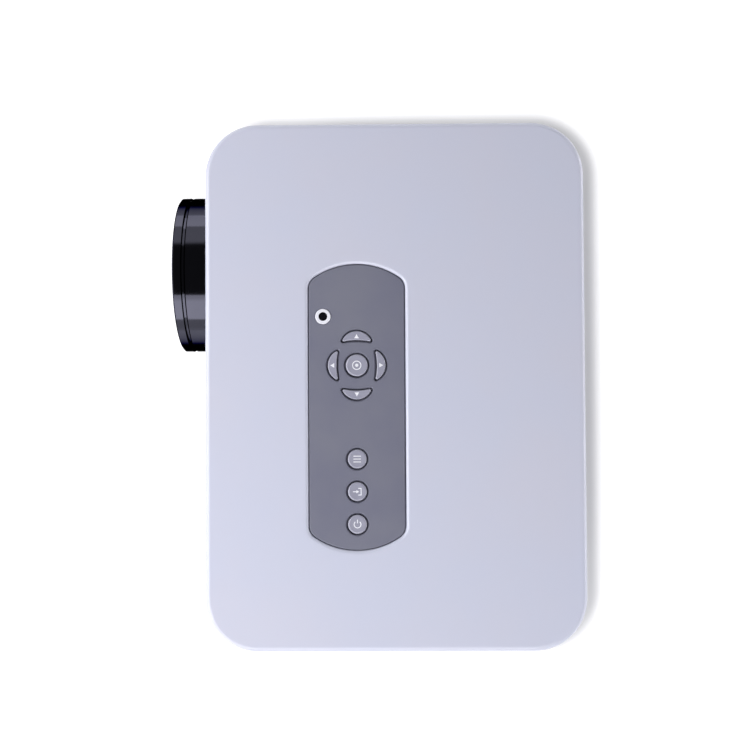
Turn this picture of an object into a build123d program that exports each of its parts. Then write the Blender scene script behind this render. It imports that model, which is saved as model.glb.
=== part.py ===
from build123d import *
import os
from math import cos, radians, sin, sqrt

# A compact home projector with a slim tray-loading DVD drive in its right-hand side. All sizes are
# millimetres. +X runs along the long side towards the disc tray, +Y to the rear and +Z up. The lens
# looks along -Y. The origin is on the table, under the middle of the whole object, lens included.

os.makedirs("parts", exist_ok=True)

# ---------------------------------------------------------------------------------------------
# Driving dimensions
# ---------------------------------------------------------------------------------------------

# Case: two moulded shells that meet at the height of the lens axis. Its width, depth and height
# follow from the drive, the boards and the light path that it holds.
foot_height = 6.0
corner_radius = 24.0
wall = 2.4
top_edge_radius = 2.5
bottom_edge_radius = 4.0
lens_overhang = 16.0
lip_height = 2.0
lip_width = 1.0
lip_gap = 0.15
seam_height = 0.35
seam_depth = 0.4

# Screw posts in the four corners.
post_inset_x = 18.0
post_inset_y = 13.9
drive_side_gap = 3.3
post_radius = 5.2
screw_radius = 1.5
screw_head_radius = 2.9
screw_head_height = 2.2
screw_length = 14.0
screw_cross_length = 4.0
screw_cross_width = 0.7
screw_shelf = 6.0
screw_gap = 0.3
thread_gap = 0.05

# Lens, focus ring and the barrel that its thread drives.
lens_from_left = 64.4
ring_radius = 37.5
rim_width = 4.0
groove_width = 1.5
groove_depth = 1.6
collar_wall = 3.5
collar_step = 1.8
rim_chamfer = 0.6
rim_edge = 1.8
cone_depth = 4.5
ring_reach = 8.0
barrel_radius = 24.5
barrel_front = 12.0
barrel_length = 38.0
lens_seat_wall = 2.5
lens_shelf = 2.0
front_lens_edge = 3.0
front_lens_dome = 3.5
rear_lens_wall = 6.4
rear_lens_edge = 3.0
rear_lens_dome = 3.2
focus_travel = 8.0
slide_gap = 0.3
collar_web = 3.0
guide_width = 3.0
guide_height = 1.4
guide_start = 10.0
guide_length = 14.0
guide_runout = 4.0
guide_tube_wall = 1.3

# Light path, measured back from the front face.
housing_start = 14.0
housing_end = 116.0
housing_room = 0.5
housing_spread = 4.0
housing_wall = 2.0
housing_stand = 11.6
lid_gap = 2.2
lid_slots = 4
lid_slot_pitch = 7.0
lid_slot_length = 22.0
lid_slot_setback = 7.0
housing_post_inset = 6.0
panel_slot_start = 78.0
panel_pitch = 7.0
panel_thickness = 2.4
panel_gap = 0.2
rib_depth = 2.0
condenser_place = 98.0
condenser_margin = 3.0
condenser_edge = 2.0
condenser_dome = 9.0
condenser_wall = 3.0
condenser_shelf = 0.8
lcd_frame = 5.0
retainer_width = 2.0
retainer_lip = 2.2
sink_base = 4.0
fan_space = 5.4
fin_thickness = 1.4
fin_inset = 1.4
fin_count = 14
led_board = 40.0
led_board_thickness = 2.0
led_radius = 9.0

# Fans.
exhaust_size = 60.0
exhaust_thickness = 15.0
intake_size = 50.0
intake_thickness = 10.0
fan_blades = 7
fan_frame_wall = 1.6
fan_tip_gap = 0.8
fan_hub_share = 0.42
fan_shaft = 1.5
fan_hub_wall = 2.2
shaft_gap = 0.05
blade_thickness = 1.2
blade_root_pitch = 42.0
blade_tip_pitch = 30.0
blade_fill = 0.82
fan_hole_inset = 5.0
fan_hole_radius = 2.1
fan_strut = 3.0
fan_floor = 1.6
slat_width = 2.4
slat_pitch = 4.8
vent_margin = 3.0
exhaust_slats = 12
intake_slats = 9
floor_vents = 7
floor_vent_length = 44.0
floor_vent_pitch = 7.0

# Key plate in the top, with the arrow keys around the OK key.
plate_length = 129.5
plate_width = 43.5
plate_end_radius = 34.0
plate_corner = 6.0
plate_shift_x = 9.4
plate_shift_y = -17.3
plate_sink = 0.8
plate_gap = 0.35
plate_thickness = 2.6
plate_flange = 1.6
plate_lip_radius = 1.7
key_gap = 0.7
key_proud = 0.6
key_travel = 0.5
key_flange = 0.9
key_flange_thickness = 0.8
key_edge = 0.45
round_key_edge = 0.8
key_hole_chamfer = 0.45
key_dish = 0.25
key_dish_rim = 0.95
ok_radius = 5.0
pad_shift = -18.85
arrow_reach_x = 15.5
arrow_inner_x = 11.5
arrow_reach_y = 13.1
arrow_inner_y = 9.2
arrow_half_chord = 6.9
arrow_sag = 0.9
arrow_tip_radius = 0.6
round_key_radius = 4.3
round_key_start = 23.65
round_key_pitch = 14.77
window_shift_x = -41.15
window_shift_y = -15.3
window_ring_radius = 3.5
window_radius = 1.95
window_proud = 0.3
press_gap = 0.05
key_board_thickness = 1.6
key_board_drop = 4.8
switch_size = 6.0
switch_height = 2.0
plunger_radius = 1.6
switch_gap = 0.12
plate_post_radius = 2.0
plate_post_x = 50.0
plate_post_y = 15.0
key_slack = 0.15
key_board_inset = 16.0
key_board_corner = 3.0
receiver_length = 5.0
receiver_width = 6.0
switch_corner = 0.5

# DVD drive, flush with the right-hand side.
drive_height = 12.7
drive_floor_gap = 6.6
sheet = 0.8
pan_gap = 0.6
tray_top_gap = 2.0
bezel_thickness = 3.5
bezel_over = 0.45
bezel_gap = 0.3
disc_overhang = 0.5
tray_front_rim = 1.4
tray_back_rim = 2.8
tray_deck = 4.0
tray_floor = 1.5
tray_skirt = 1.6
disc_radius = 60.0
disc_play = 0.6
rail_width = 2.6
rail_height = 4.0
rail_gap = 0.35
rail_room = 0.75
hub_flange_radius = 14.5
hub_pin_radius = 7.4
hub_pin_height = 2.1
hub_flange = 1.0
spindle_radius = 11.5
hub_cup_radius = 12.5
sled_start = 23.5
sled_travel = 33.0
sled_front = 7.0
sled_back = 5.0
sled_width = 34.0
rod_radius = 1.0
rod_spacing = 20.0
screw_offset = 27.0
lead_radius = 1.25
button_travel = 0.8
button_width = 9.0
button_height = 3.6
button_flange = 1.0
button_pocket = 1.6
button_from_middle = 46.0
release_offset = 12.0
release_radius = 0.6
chassis_lip = 3.4
pan_hole_x = 70.0
pan_hole_y = 80.0
rail_setback = 3.0
drive_post_inset = 8.0
traverse_reach = 26.0
traverse_width = 72.0
rod_lift = 1.4
clip_width = 1.5
motor_length = 10.0
motor_radius = 2.2
sled_ear = 4.0
objective_radius = 3.5
post_inset = 4.0
traverse_corner = 3.0
motor_room = 1.0
motor_socket = 2.0
slot_room = 1.0
bezel_window_corner = 1.0
button_corner = 0.8
hub_chamfer = 0.5
hub_nose = 0.4

# Electronics.
board_thickness = 1.6
board_lift = 3.3
standoff_radius = 2.2
panel_sill = 30.0
panel_left_inset = 1.0
panel_right_inset = 18.0
panel_rebate = 1.6
panel_flange = 1.2
panel_fit = 0.1
board_edge_gap = 0.4
board_overhang = 10.7
board_post_inset = 3.0
main_board_reach = 83.0
board_spacing = 6.0
board_gap = 2.6
main_board_depth = 104.0
power_board_width = 44.0
power_board_depth = 74.0
power_board_margin = 8.0
power_board_from_rear = 20.4
cover_post_inset = 6.0
processor_size = 26.0
chip_height = 2.0
memory_size = (10.0, 16.0)
decoder_size = (14.0, 14.0)
decoder_shift = 16.0
cooler_fins = 8
cooler_pitch = 3.2
cooler_fin = 1.2
cooler_height = 7.0
capacitor_radius = 4.0
capacitor_height = 11.0
capacitor_count = 5
capacitor_pitch = 12.0
capacitor_row = 32.0
transformer_size = (28.0, 26.0)
transformer_height = 22.0
mains_row = 25.0
mains_capacitor_radius = 8.0
mains_capacitor_shift = 8.0
line_filter_size = (14.0, 16.0)
line_filter_shift = 11.0
mains_height = 18.0
output_capacitor_radius = 5.0
output_capacitor_pitch = 16.0
output_capacitor_height = 16.0
socket_depth = 12.0
jack_radius = 1.8
socket_setback = 0.4
jack_width = 7.0
jack_nose = 3.0
jack_offsets = [8.0, 18.0]
shell_wall = 0.5
tongue = 1.6
usb_width = 13.2
usb_height = 6.0
usb_offset = 29.0
hdmi_width = 15.0
hdmi_height = 6.2
hdmi_offset = 45.0
vga_width = 31.0
vga_height = 12.4
vga_offset = 69.5
vga_lift = 0.5
vga_shell = (17.6, 8.6)
vga_plug = (15.4, 6.6)
vga_slope = 80.0
vga_screw_radius = 1.3
vga_screw_spacing = 25.0
inlet_width = 23.0
inlet_height = 13.0
inlet_depth = 16.0
inlet_cavity = 12.0
inlet_lobe = 4.6
inlet_bridge = 7.2
inlet_shift = 8.0
inlet_lift = 0.9
pin_radius = 1.2
pin_spacing = 8.6
leg_inset = 3.0

# Speakers behind the front.
speaker_radius = 17.0
speaker_depth = 16.0
speaker_lift = 20.5
speaker_from_right = 46.0
speaker_spacing = 50.0
speaker_rim = 2.4
speaker_flange = 1.6
basket_radius = 9.8
basket_wall = 1.4
basket_shoulder = 9.2
magnet_front = 10.5
magnet_step = 9.4
cone_gap = 1.2
cone_start = 0.5
cone_edge = 0.8
cone_roll = 1.8
cone_depth_back = 6.5
coil_radius = 5.2
coil_wall = 1.0
coil_end = 10.3
cap_radius = 4.6
cap_front = 3.2
cap_wall = 0.8
grille_margin = 2.5
grille_bar = 1.8
grille_pitch = 3.9

# Underside.
foot_radius = 9.0
foot_seat = 0.8
foot_inset_x = 30.0
foot_inset_y = 24.0
insert_radius = 5.0
insert_bore = 2.6
insert_length = 7.0
level_travel = 10.0
level_pad_radius = 8.0
level_pad_height = 2.4
level_screw_radius = 3.0
level_from_front = 14.0
level_pad_bottom = 0.4
level_stud = 1.5
level_grip_count = 16
level_grip_radius = 1.1
level_grip_offset = 0.7
boss_wall = 2.5
foot_edge = 1.2
pad_edge = 0.8

# ---------------------------------------------------------------------------------------------
# Places worked out from them
# ---------------------------------------------------------------------------------------------

keyway_radius = barrel_radius + guide_height + slide_gap
tube_radius = keyway_radius + guide_tube_wall
housing_height = 2 * (tube_radius + housing_room + housing_wall)
housing_width = housing_height + housing_spread
condenser_radius = housing_height / 2 - housing_wall - condenser_margin

disc_from_bezel = disc_radius + disc_play + tray_front_rim
tray_width = 2 * (disc_radius - disc_overhang)
drive_width = tray_width + 2 * (rail_gap + rail_width + rail_room + sheet)
drive_depth = disc_from_bezel - bezel_gap + disc_radius + tray_back_rim + 2 * disc_play + sheet

# The right-hand part of the case is as long as the longer of the drive and the row of boards.
drive_row = board_overhang + drive_depth + bezel_gap + bezel_thickness
board_row = main_board_reach + board_spacing + power_board_width + power_board_margin
right_hand_room = max(drive_row, board_row)
case_width = lens_from_left + housing_width / 2 + board_gap + right_hand_room
case_depth = 2 * (drive_width / 2 + drive_side_gap + post_radius + post_inset_y)
case_y = lens_overhang / 2
case_bottom = foot_height
lens_height = case_bottom + wall + housing_stand + housing_height / 2
plate_depth = key_board_thickness + key_board_drop + plate_thickness + plate_sink
case_top = lens_height + housing_height / 2 + lid_gap + plate_depth
fin_pitch = (housing_width - fin_thickness - 2 * fin_inset) / (fin_count - 1)
fin_depth = case_depth - wall - exhaust_thickness - fan_space - housing_end - sink_base
left_face = -case_width / 2
right_face = case_width / 2
front_face = case_y - case_depth / 2
rear_face = case_y + case_depth / 2
inner_floor = case_bottom + wall
inner_roof = case_top - wall
parting = lens_height
lens_x = left_face + lens_from_left
post_places = [
    (sx * (case_width / 2 - post_inset_x), case_y + sy * (case_depth / 2 - post_inset_y))
    for sx in (-1, 1)
    for sy in (-1, 1)
]
lens_axis = Axis((lens_x, 0, lens_height), (0, 1, 0))


def front_plane(y):
    """Sketch plane at Y=y with X across and Z up. A negative extrusion runs to the rear."""
    return Plane.XZ.offset(-y)


def side_plane(x):
    """Sketch plane at X=x with Y across and Z up. A positive extrusion runs to the right."""
    return Plane.YZ.offset(x)


def lens_plane(y):
    """Sketch plane square to the lens axis, with its origin on the axis."""
    return Plane(origin=(lens_x, y, lens_height), x_dir=(1, 0, 0), z_dir=(0, -1, 0))


def turned_plane():
    """Half section of a round piece on the lens axis: radius across, distance behind the front face up."""
    return Plane(origin=(lens_x, front_face, lens_height), x_dir=(0, 0, 1), z_dir=(-1, 0, 0))


def upright_plane(x, y, z=0.0):
    """Half section of a round piece on an upright axis: radius across, height up."""
    return Plane(origin=(x, y, z), x_dir=(1, 0, 0), z_dir=(0, -1, 0))


def closed_profile(points):
    """Fill a closed outline in the sketch that is being made."""
    with BuildLine() as outline:
        Polyline(*points, close=True)
    make_face(outline.edges())


def save(piece, name):
    """Label a finished piece and write it as a node of its own."""
    piece.part.label = name
    export_step(piece.part, f"parts/{name}.step")


def case_sketch(inset=0.0, mode=Mode.ADD):
    """The plan of the case, drawn smaller by the inset."""
    with Locations((0, case_y)):
        RectangleRounded(
            case_width - 2 * inset, case_depth - 2 * inset, corner_radius - inset, mode=mode
        )


# ---------------------------------------------------------------------------------------------
# Key plate outlines
# ---------------------------------------------------------------------------------------------

plate_x = plate_shift_x
plate_y = case_y + plate_shift_y
plate_top = case_top - plate_sink
plate_bottom = plate_top - plate_thickness
key_top = plate_top + key_proud
ok_x = plate_x + pad_shift
round_key_places = [(plate_x + round_key_start + i * round_key_pitch, plate_y) for i in range(3)]
window_x = plate_x + window_shift_x
window_y = plate_y + window_shift_y
key_board_top = plate_bottom - key_board_drop


def plate_sketch(grow=0.0):
    """The long plate with bowed ends and soft corners, drawn larger by grow."""
    front = plate_y - plate_width / 2 - grow
    rear = plate_y + plate_width / 2 + grow
    end_radius = plate_end_radius + grow
    reach = plate_length / 2 + grow
    side = reach - end_radius + sqrt(end_radius**2 - (plate_width / 2 + grow) ** 2)
    with BuildLine() as outline:
        Polyline((plate_x - side, front), (plate_x + side, front))
        ThreePointArc((plate_x + side, front), (plate_x + reach, plate_y), (plate_x + side, rear))
        Polyline((plate_x + side, rear), (plate_x - side, rear))
        ThreePointArc((plate_x - side, rear), (plate_x - reach, plate_y), (plate_x - side, front))
    plate = make_face(outline.edges())
    fillet(plate.vertices(), plate_corner + grow)


def arrow_plane(height, turn):
    """Sketch plane over the OK key whose +X points to the arrow key at that angle."""
    across = (cos(radians(turn)), sin(radians(turn)), 0)
    return Plane(origin=(ok_x, plate_y, height), x_dir=across, z_dir=(0, 0, 1))


def arrow_sketch(reach, inner, grow=0.0):
    """A low crescent: its back bows away from the OK key and its inner edge bends around it."""
    tip = inner - arrow_sag - grow
    half = arrow_half_chord + grow
    with BuildLine() as outline:
        ThreePointArc((tip, -half), (reach + grow, 0), (tip, half))
        ThreePointArc((tip, half), (inner - grow, 0), (tip, -half))
    crescent = make_face(outline.edges())
    fillet(crescent.vertices(), arrow_tip_radius + grow / 2)


arrows = {
    "up_key": (180, arrow_reach_x, arrow_inner_x),
    "down_key": (0, arrow_reach_x, arrow_inner_x),
    "left_key": (270, arrow_reach_y, arrow_inner_y),
    "right_key": (90, arrow_reach_y, arrow_inner_y),
}
arrow_posts = {
    name: (
        ok_x + cos(radians(turn)) * (reach + inner) / 2,
        plate_y + sin(radians(turn)) * (reach + inner) / 2,
    )
    for name, (turn, reach, inner) in arrows.items()
}
switch_places = list(arrow_posts.values()) + [(ok_x, plate_y)] + round_key_places

# ---------------------------------------------------------------------------------------------
# Drive, board and underside places
# ---------------------------------------------------------------------------------------------

drive_z = inner_floor + drive_floor_gap
drive_top = drive_z + drive_height
bezel_back = right_face - bezel_thickness
chassis_front = bezel_back - bezel_gap
chassis_back = chassis_front - drive_depth
disc_x = bezel_back - disc_from_bezel
tray_back = chassis_back + sheet + disc_play
board_z = drive_top + board_lift
board_top = board_z + board_thickness
bezel_bottom = drive_z - bezel_over
bezel_top = drive_top + bezel_over
rail_y = tray_width / 2 + rail_gap + rail_width / 2
level_x = 0.0
level_y = front_face + level_from_front
insert_x = 0.0
insert_y = case_y

tray_top = drive_top - sheet - tray_top_gap
deck_bottom = tray_top - tray_deck
disc_floor = deck_bottom + tray_floor
inner_low = drive_z + sheet + pan_gap
screw_shelf_z = parting - screw_shelf
head_room = screw_head_radius + screw_gap
lip_room = lip_gap + lip_width
speaker_height = parting + speaker_lift
speaker_places = [right_face - speaker_from_right - i * speaker_spacing for i in range(2)]
intake_y = case_y


def round_grille(plane, places, radius, depth, bar, pitch):
    """Upright slots that fill a circle, cut through a wall from its outer face."""
    steps = int((radius - bar) / pitch)
    with BuildSketch(plane) as slots:
        for x, z in places:
            for step in range(-steps, steps + 1):
                length = 2 * sqrt(radius**2 - (step * pitch) ** 2)
                with Locations((x + step * pitch, z)):
                    SlotOverall(length, bar, rotation=90)
    extrude(slots.sketch, amount=-depth, mode=Mode.SUBTRACT)


def slat_rows(plane, across, low, high, count, depth):
    """A row of upright slots between two heights, cut through a wall."""
    with BuildSketch(plane) as slots:
        with Locations((across, (low + high) / 2)):
            with GridLocations(slat_pitch, 1, count, 1):
                SlotOverall(high - low, slat_width, rotation=90)
    extrude(slots.sketch, amount=-depth, mode=Mode.SUBTRACT)


exhaust_vent = exhaust_size / 2 - vent_margin
intake_vent = intake_size / 2 - vent_margin
left_plane = Plane(origin=(left_face, 0, 0), x_dir=(0, -1, 0), z_dir=(-1, 0, 0))
rear_plane = Plane(origin=(0, rear_face, 0), x_dir=(-1, 0, 0), z_dir=(0, 1, 0))

# ---------------------------------------------------------------------------------------------
# Case
# ---------------------------------------------------------------------------------------------

collar_radius = ring_radius - collar_step
collar_hole = collar_radius + slide_gap

with BuildPart() as top_cover:
    with BuildSketch(Plane.XY.offset(parting)):
        case_sketch()
    extrude(amount=case_top - parting)
    fillet(top_cover.faces().sort_by(Axis.Z)[-1].edges(), top_edge_radius)
    with BuildSketch(Plane.XY.offset(parting)):
        case_sketch(wall)
    extrude(amount=inner_roof - parting, mode=Mode.SUBTRACT)
    # A narrow groove all round marks the joint between the shells.
    with BuildSketch(Plane.XY.offset(parting)):
        case_sketch()
        case_sketch(seam_depth, Mode.SUBTRACT)
    extrude(amount=seam_height, mode=Mode.SUBTRACT)
    # The mouth that the key plate lies in, with a rounded rim.
    with BuildSketch(Plane.XY.offset(inner_roof)):
        plate_sketch(plate_gap)
    extrude(amount=wall, mode=Mode.SUBTRACT)
    fillet(top_cover.faces().sort_by(Axis.Z)[-1].inner_wires()[0].edges(), plate_lip_radius)
    # Screw posts, drilled from below.
    with BuildSketch(Plane.XY.offset(parting)):
        with Locations(*post_places):
            Circle(post_radius)
            Circle(screw_radius + thread_gap, mode=Mode.SUBTRACT)
    extrude(amount=inner_roof - parting)
    # Upper half of the lens hole.
    with BuildSketch(lens_plane(front_face)):
        Circle(collar_hole)
    extrude(amount=-wall, mode=Mode.SUBTRACT)
    round_grille(
        front_plane(front_face),
        [(x, speaker_height) for x in speaker_places],
        speaker_radius - grille_margin,
        wall,
        grille_bar,
        grille_pitch,
    )
    slat_rows(rear_plane, -lens_x, parting + vent_margin, parting + exhaust_vent, exhaust_slats, wall)
    slat_rows(left_plane, -intake_y, parting + vent_margin, parting + intake_vent, intake_slats, wall)
save(top_cover, "top_cover")


def standing_posts():
    """Posts that rise from the floor of the case to carry the drive, the light path and the main board."""
    drive = [
        (x, case_y + side * (drive_width / 2 - drive_post_inset), drive_z)
        for x in (chassis_back + drive_post_inset, chassis_front - drive_post_inset)
        for side in (-1, 1)
    ]
    housing = [
        (lens_x + side * (housing_width / 2 - housing_post_inset), front_face + y, housing_bottom)
        for y in (housing_start + housing_post_inset, housing_end - housing_post_inset)
        for side in (-1, 1)
    ]
    board = [
        (board_left + board_post_inset, board_back - main_board_depth + board_post_inset, board_z),
        (board_left + board_post_inset, board_back - board_post_inset, board_z),
        (board_left + main_board_width - board_post_inset, board_back - board_post_inset, board_z),
    ]
    return drive + housing + board


housing_bottom = lens_height - housing_height / 2
board_left = right_face - right_hand_room
power_board_right = right_face - power_board_margin
power_board_back = rear_face - power_board_from_rear
main_board_width = power_board_right - power_board_width - board_spacing - board_left
panel_left = board_left + panel_left_inset
panel_right = power_board_right - panel_right_inset
board_back = rear_face - wall - panel_flange - board_edge_gap
panel_width = panel_right - panel_left
panel_centre = (panel_left + panel_right) / 2
bezel_height = bezel_top - bezel_bottom
bezel_middle = (bezel_bottom + bezel_top) / 2
foot_places = [
    (sx * (case_width / 2 - foot_inset_x), case_y + sy * (case_depth / 2 - foot_inset_y))
    for sx in (-1, 1)
    for sy in (-1, 1)
]
insert_bottom = case_bottom + panel_gap
insert_top = insert_bottom + insert_length


def lip_ring(inset):
    """Plan of the lip between an outer inset and the lip's own inner face."""
    case_sketch(inset)
    case_sketch(wall + lip_room, Mode.SUBTRACT)


with BuildPart() as bottom_case:
    with BuildSketch(Plane.XY.offset(case_bottom)):
        case_sketch()
    extrude(amount=parting - case_bottom)
    fillet(bottom_case.faces().sort_by(Axis.Z)[0].edges(), bottom_edge_radius)
    with BuildSketch(Plane.XY.offset(inner_floor)):
        case_sketch(wall)
    extrude(amount=parting - inner_floor, mode=Mode.SUBTRACT)
    # A lip on a step of the wall stands up inside the joint between the shells.
    with BuildSketch(Plane.XY.offset(parting - lip_height)):
        lip_ring(wall)
    extrude(amount=lip_height)
    with BuildSketch(Plane.XY.offset(parting)):
        lip_ring(wall + lip_gap)
    extrude(amount=lip_height)
    # The lip gives way to the fans and the port panel.
    with BuildSketch(Plane.XY.offset(parting - lip_height)):
        with Locations((lens_x, rear_face - wall - lip_room)):
            Rectangle(exhaust_size + 2 * panel_gap, 2 * lip_room)
        with Locations((panel_centre, rear_face - wall - lip_room)):
            Rectangle(panel_width + 2 * panel_rebate + 2 * panel_gap, 2 * lip_room)
        with Locations((left_face + wall + lip_room, intake_y)):
            Rectangle(2 * lip_room, intake_size + 2 * panel_gap)
    extrude(amount=2 * lip_height, mode=Mode.SUBTRACT)
    # Screw posts, and the posts under the drive, the light path and the main board.
    with BuildSketch(Plane.XY.offset(inner_floor)):
        with Locations(*post_places):
            Circle(post_radius)
    extrude(amount=parting - inner_floor)
    for x, y, top in standing_posts():
        with BuildSketch(Plane.XY.offset(inner_floor)):
            with Locations((x, y)):
                Circle(standoff_radius)
        extrude(amount=top - inner_floor)
    # Bosses for the tripod insert and for the screw of the adjustable foot.
    with BuildSketch(Plane.XY.offset(inner_floor)):
        with Locations((insert_x, insert_y)):
            Circle(insert_radius + boss_wall)
    extrude(amount=insert_top + panel_gap + sheet - inner_floor)
    with BuildSketch(Plane.XY.offset(inner_floor)):
        with Locations((level_x, level_y)):
            Circle(level_screw_radius + boss_wall)
    extrude(amount=drive_z - pan_gap - inner_floor)
    # Deep pockets for the screw heads, clearance for their shanks.
    with BuildSketch(Plane.XY.offset(case_bottom)):
        with Locations(*post_places):
            Circle(head_room)
    extrude(amount=screw_shelf_z - case_bottom, mode=Mode.SUBTRACT)
    with BuildSketch(Plane.XY.offset(case_bottom)):
        with Locations(*post_places):
            Circle(screw_radius + screw_gap)
        with Locations((level_x, level_y)):
            Circle(level_screw_radius + shaft_gap)
    extrude(amount=parting - case_bottom, mode=Mode.SUBTRACT)
    with BuildSketch(Plane.XY.offset(case_bottom)):
        with Locations((insert_x, insert_y)):
            Circle(insert_radius + press_gap)
    extrude(amount=insert_top + panel_gap / 2 - case_bottom, mode=Mode.SUBTRACT)
    # Shallow seats for the rubber feet.
    with BuildSketch(Plane.XY.offset(case_bottom)):
        with Locations(*foot_places):
            Circle(foot_radius + slide_gap / 2)
    extrude(amount=foot_seat, mode=Mode.SUBTRACT)
    # Cooling slots in the floor, the rear and the left side.
    with BuildSketch(Plane.XY.offset(case_bottom)):
        with Locations((lens_x, front_face + panel_slot_start)):
            with GridLocations(floor_vent_pitch, 1, floor_vents, 1):
                SlotOverall(floor_vent_length, slat_width, rotation=90)
    extrude(amount=wall, mode=Mode.SUBTRACT)
    slat_rows(rear_plane, -lens_x, parting - exhaust_vent, parting - vent_margin, exhaust_slats, wall)
    slat_rows(left_plane, -intake_y, parting - intake_vent, parting - vent_margin, intake_slats, wall)
    # Lower half of the lens hole, the mouth of the tray and the notch for the port panel.
    with BuildSketch(lens_plane(front_face)):
        Circle(collar_hole)
    extrude(amount=-wall - lip_room, mode=Mode.SUBTRACT)
    with BuildSketch(side_plane(right_face)):
        with Locations((case_y, bezel_middle)):
            Rectangle(drive_width + 2 * bezel_gap, bezel_height + 2 * bezel_gap)
    extrude(amount=-bezel_thickness - bezel_gap, mode=Mode.SUBTRACT)
    with BuildSketch(front_plane(rear_face)):
        with Locations((panel_centre, parting)):
            Rectangle(panel_width + 2 * panel_fit, 2 * (parting - panel_sill + panel_fit))
    extrude(amount=wall + lip_room, mode=Mode.SUBTRACT)
save(bottom_case, "bottom_case")

with BuildPart() as rubber_feet:
    with BuildSketch(Plane.XY):
        with Locations(*foot_places):
            Circle(foot_radius)
    extrude(amount=foot_height + foot_seat)
    fillet(rubber_feet.edges().group_by(Axis.Z)[0], foot_edge)
save(rubber_feet, "rubber_feet")

with BuildPart() as housing_screws:
    with BuildSketch(Plane.XY.offset(screw_shelf_z - screw_head_height)):
        with Locations(*post_places):
            Circle(screw_head_radius)
    extrude(amount=screw_head_height)
    with BuildSketch(Plane.XY.offset(screw_shelf_z)):
        with Locations(*post_places):
            Circle(screw_radius)
    extrude(amount=screw_length)
    with BuildSketch(Plane.XY.offset(screw_shelf_z - screw_head_height)):
        with Locations(*post_places):
            Rectangle(screw_cross_length, screw_cross_width)
            Rectangle(screw_cross_width, screw_cross_length)
    extrude(amount=screw_head_height / 2, mode=Mode.SUBTRACT)
save(housing_screws, "housing_screws")

with BuildPart() as tripod_insert:
    with BuildSketch(Plane.XY.offset(insert_bottom)):
        with Locations((insert_x, insert_y)):
            Circle(insert_radius)
            Circle(insert_bore, mode=Mode.SUBTRACT)
    extrude(amount=insert_length)
save(tripod_insert, "tripod_insert")

# Adjustable foot: a rubber pad that only rises and falls, under a knob that is one piece with its screw.
level_knob_bottom = level_pad_bottom + level_pad_height + panel_fit
level_knob_top = case_bottom - 2 * slide_gap

with BuildPart() as foot_pad:
    with BuildSketch(Plane.XY.offset(level_pad_bottom)):
        with Locations((level_x, level_y)):
            Circle(level_pad_radius)
    extrude(amount=level_pad_height)
    fillet(foot_pad.edges().group_by(Axis.Z)[0], pad_edge)
    with BuildSketch(Plane.XY.offset(level_pad_bottom + level_pad_height)):
        with Locations((level_x, level_y)):
            Circle(level_stud)
    extrude(amount=level_stud)
save(foot_pad, "foot_pad")

with BuildPart() as foot_screw:
    with BuildSketch(Plane.XY.offset(level_knob_bottom)):
        with Locations((level_x, level_y)):
            Circle(level_pad_radius)
            with PolarLocations(level_pad_radius + level_grip_offset, level_grip_count):
                Circle(level_grip_radius, mode=Mode.SUBTRACT)
    extrude(amount=level_knob_top - level_knob_bottom)
    with BuildSketch(Plane.XY.offset(level_knob_top)):
        with Locations((level_x, level_y)):
            Circle(level_screw_radius)
    extrude(amount=drive_z + level_travel - level_knob_top)
    with BuildSketch(Plane.XY.offset(level_knob_bottom)):
        with Locations((level_x, level_y)):
            Circle(level_stud + shaft_gap)
    extrude(amount=level_stud, mode=Mode.SUBTRACT)
save(foot_screw, "foot_screw")

# ---------------------------------------------------------------------------------------------
# Key plate, keys and remote-control window
# ---------------------------------------------------------------------------------------------

key_floor = plate_bottom - key_slack - key_flange_thickness
plate_posts = [
    (plate_x + x, plate_y + y)
    for x in (-plate_post_x, plate_post_x)
    for y in (-plate_post_y, plate_post_y)
]


def flat_plane(height):
    """Level sketch plane at a height."""
    return Plane.XY.offset(height)


def disc_sketch(place, radius):
    """Outline of a round key, as a function of how much larger it is drawn."""

    def outline(grow=0.0):
        with Locations(place):
            Circle(radius + grow)

    return outline


with BuildPart() as keypad_panel:
    with BuildSketch(flat_plane(plate_bottom)):
        plate_sketch()
    extrude(amount=plate_thickness)
    fillet(keypad_panel.faces().sort_by(Axis.Z)[-1].edges(), key_edge)
    with BuildSketch(flat_plane(plate_bottom)):
        plate_sketch(plate_flange)
    extrude(amount=inner_roof - plate_bottom)
    with BuildSketch(flat_plane(key_board_top)):
        with Locations(*plate_posts):
            Circle(plate_post_radius)
    extrude(amount=plate_bottom - key_board_top)
    with BuildSketch(flat_plane(plate_bottom)):
        with Locations((ok_x, plate_y)):
            Circle(ok_radius + key_gap)
        with Locations(*round_key_places):
            Circle(round_key_radius + key_gap)
        with Locations((window_x, window_y)):
            Circle(window_ring_radius + press_gap)
    extrude(amount=plate_thickness, mode=Mode.SUBTRACT)
    for turn, reach, inner in arrows.values():
        with BuildSketch(arrow_plane(plate_bottom, turn)):
            arrow_sketch(reach, inner, key_gap)
        extrude(amount=plate_thickness, mode=Mode.SUBTRACT)
    openings = keypad_panel.faces().sort_by(Axis.Z)[-1].inner_wires()
    chamfer(openings.edges(), key_hole_chamfer)
save(keypad_panel, "keypad_panel")


def make_key(name, plane_at, outline, dish=None):
    """A key cap with the flange that keeps it under the plate, hollowed to a dish where one is given."""
    with BuildPart() as key:
        with BuildSketch(plane_at(key_floor)):
            outline(key_flange + key_gap)
        extrude(amount=key_flange_thickness)
        with BuildSketch(plane_at(key_floor)):
            outline()
        extrude(amount=key_top - key_floor)
        fillet(key.faces().sort_by(Axis.Z)[-1].edges(), round_key_edge if dish else key_edge)
        if dish:
            (x, y), radius = dish
            sphere = (radius**2 + key_dish**2) / (2 * key_dish)
            with Locations((x, y, key_top - key_dish + sphere)):
                Sphere(sphere, mode=Mode.SUBTRACT)
    save(key, name)


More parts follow.
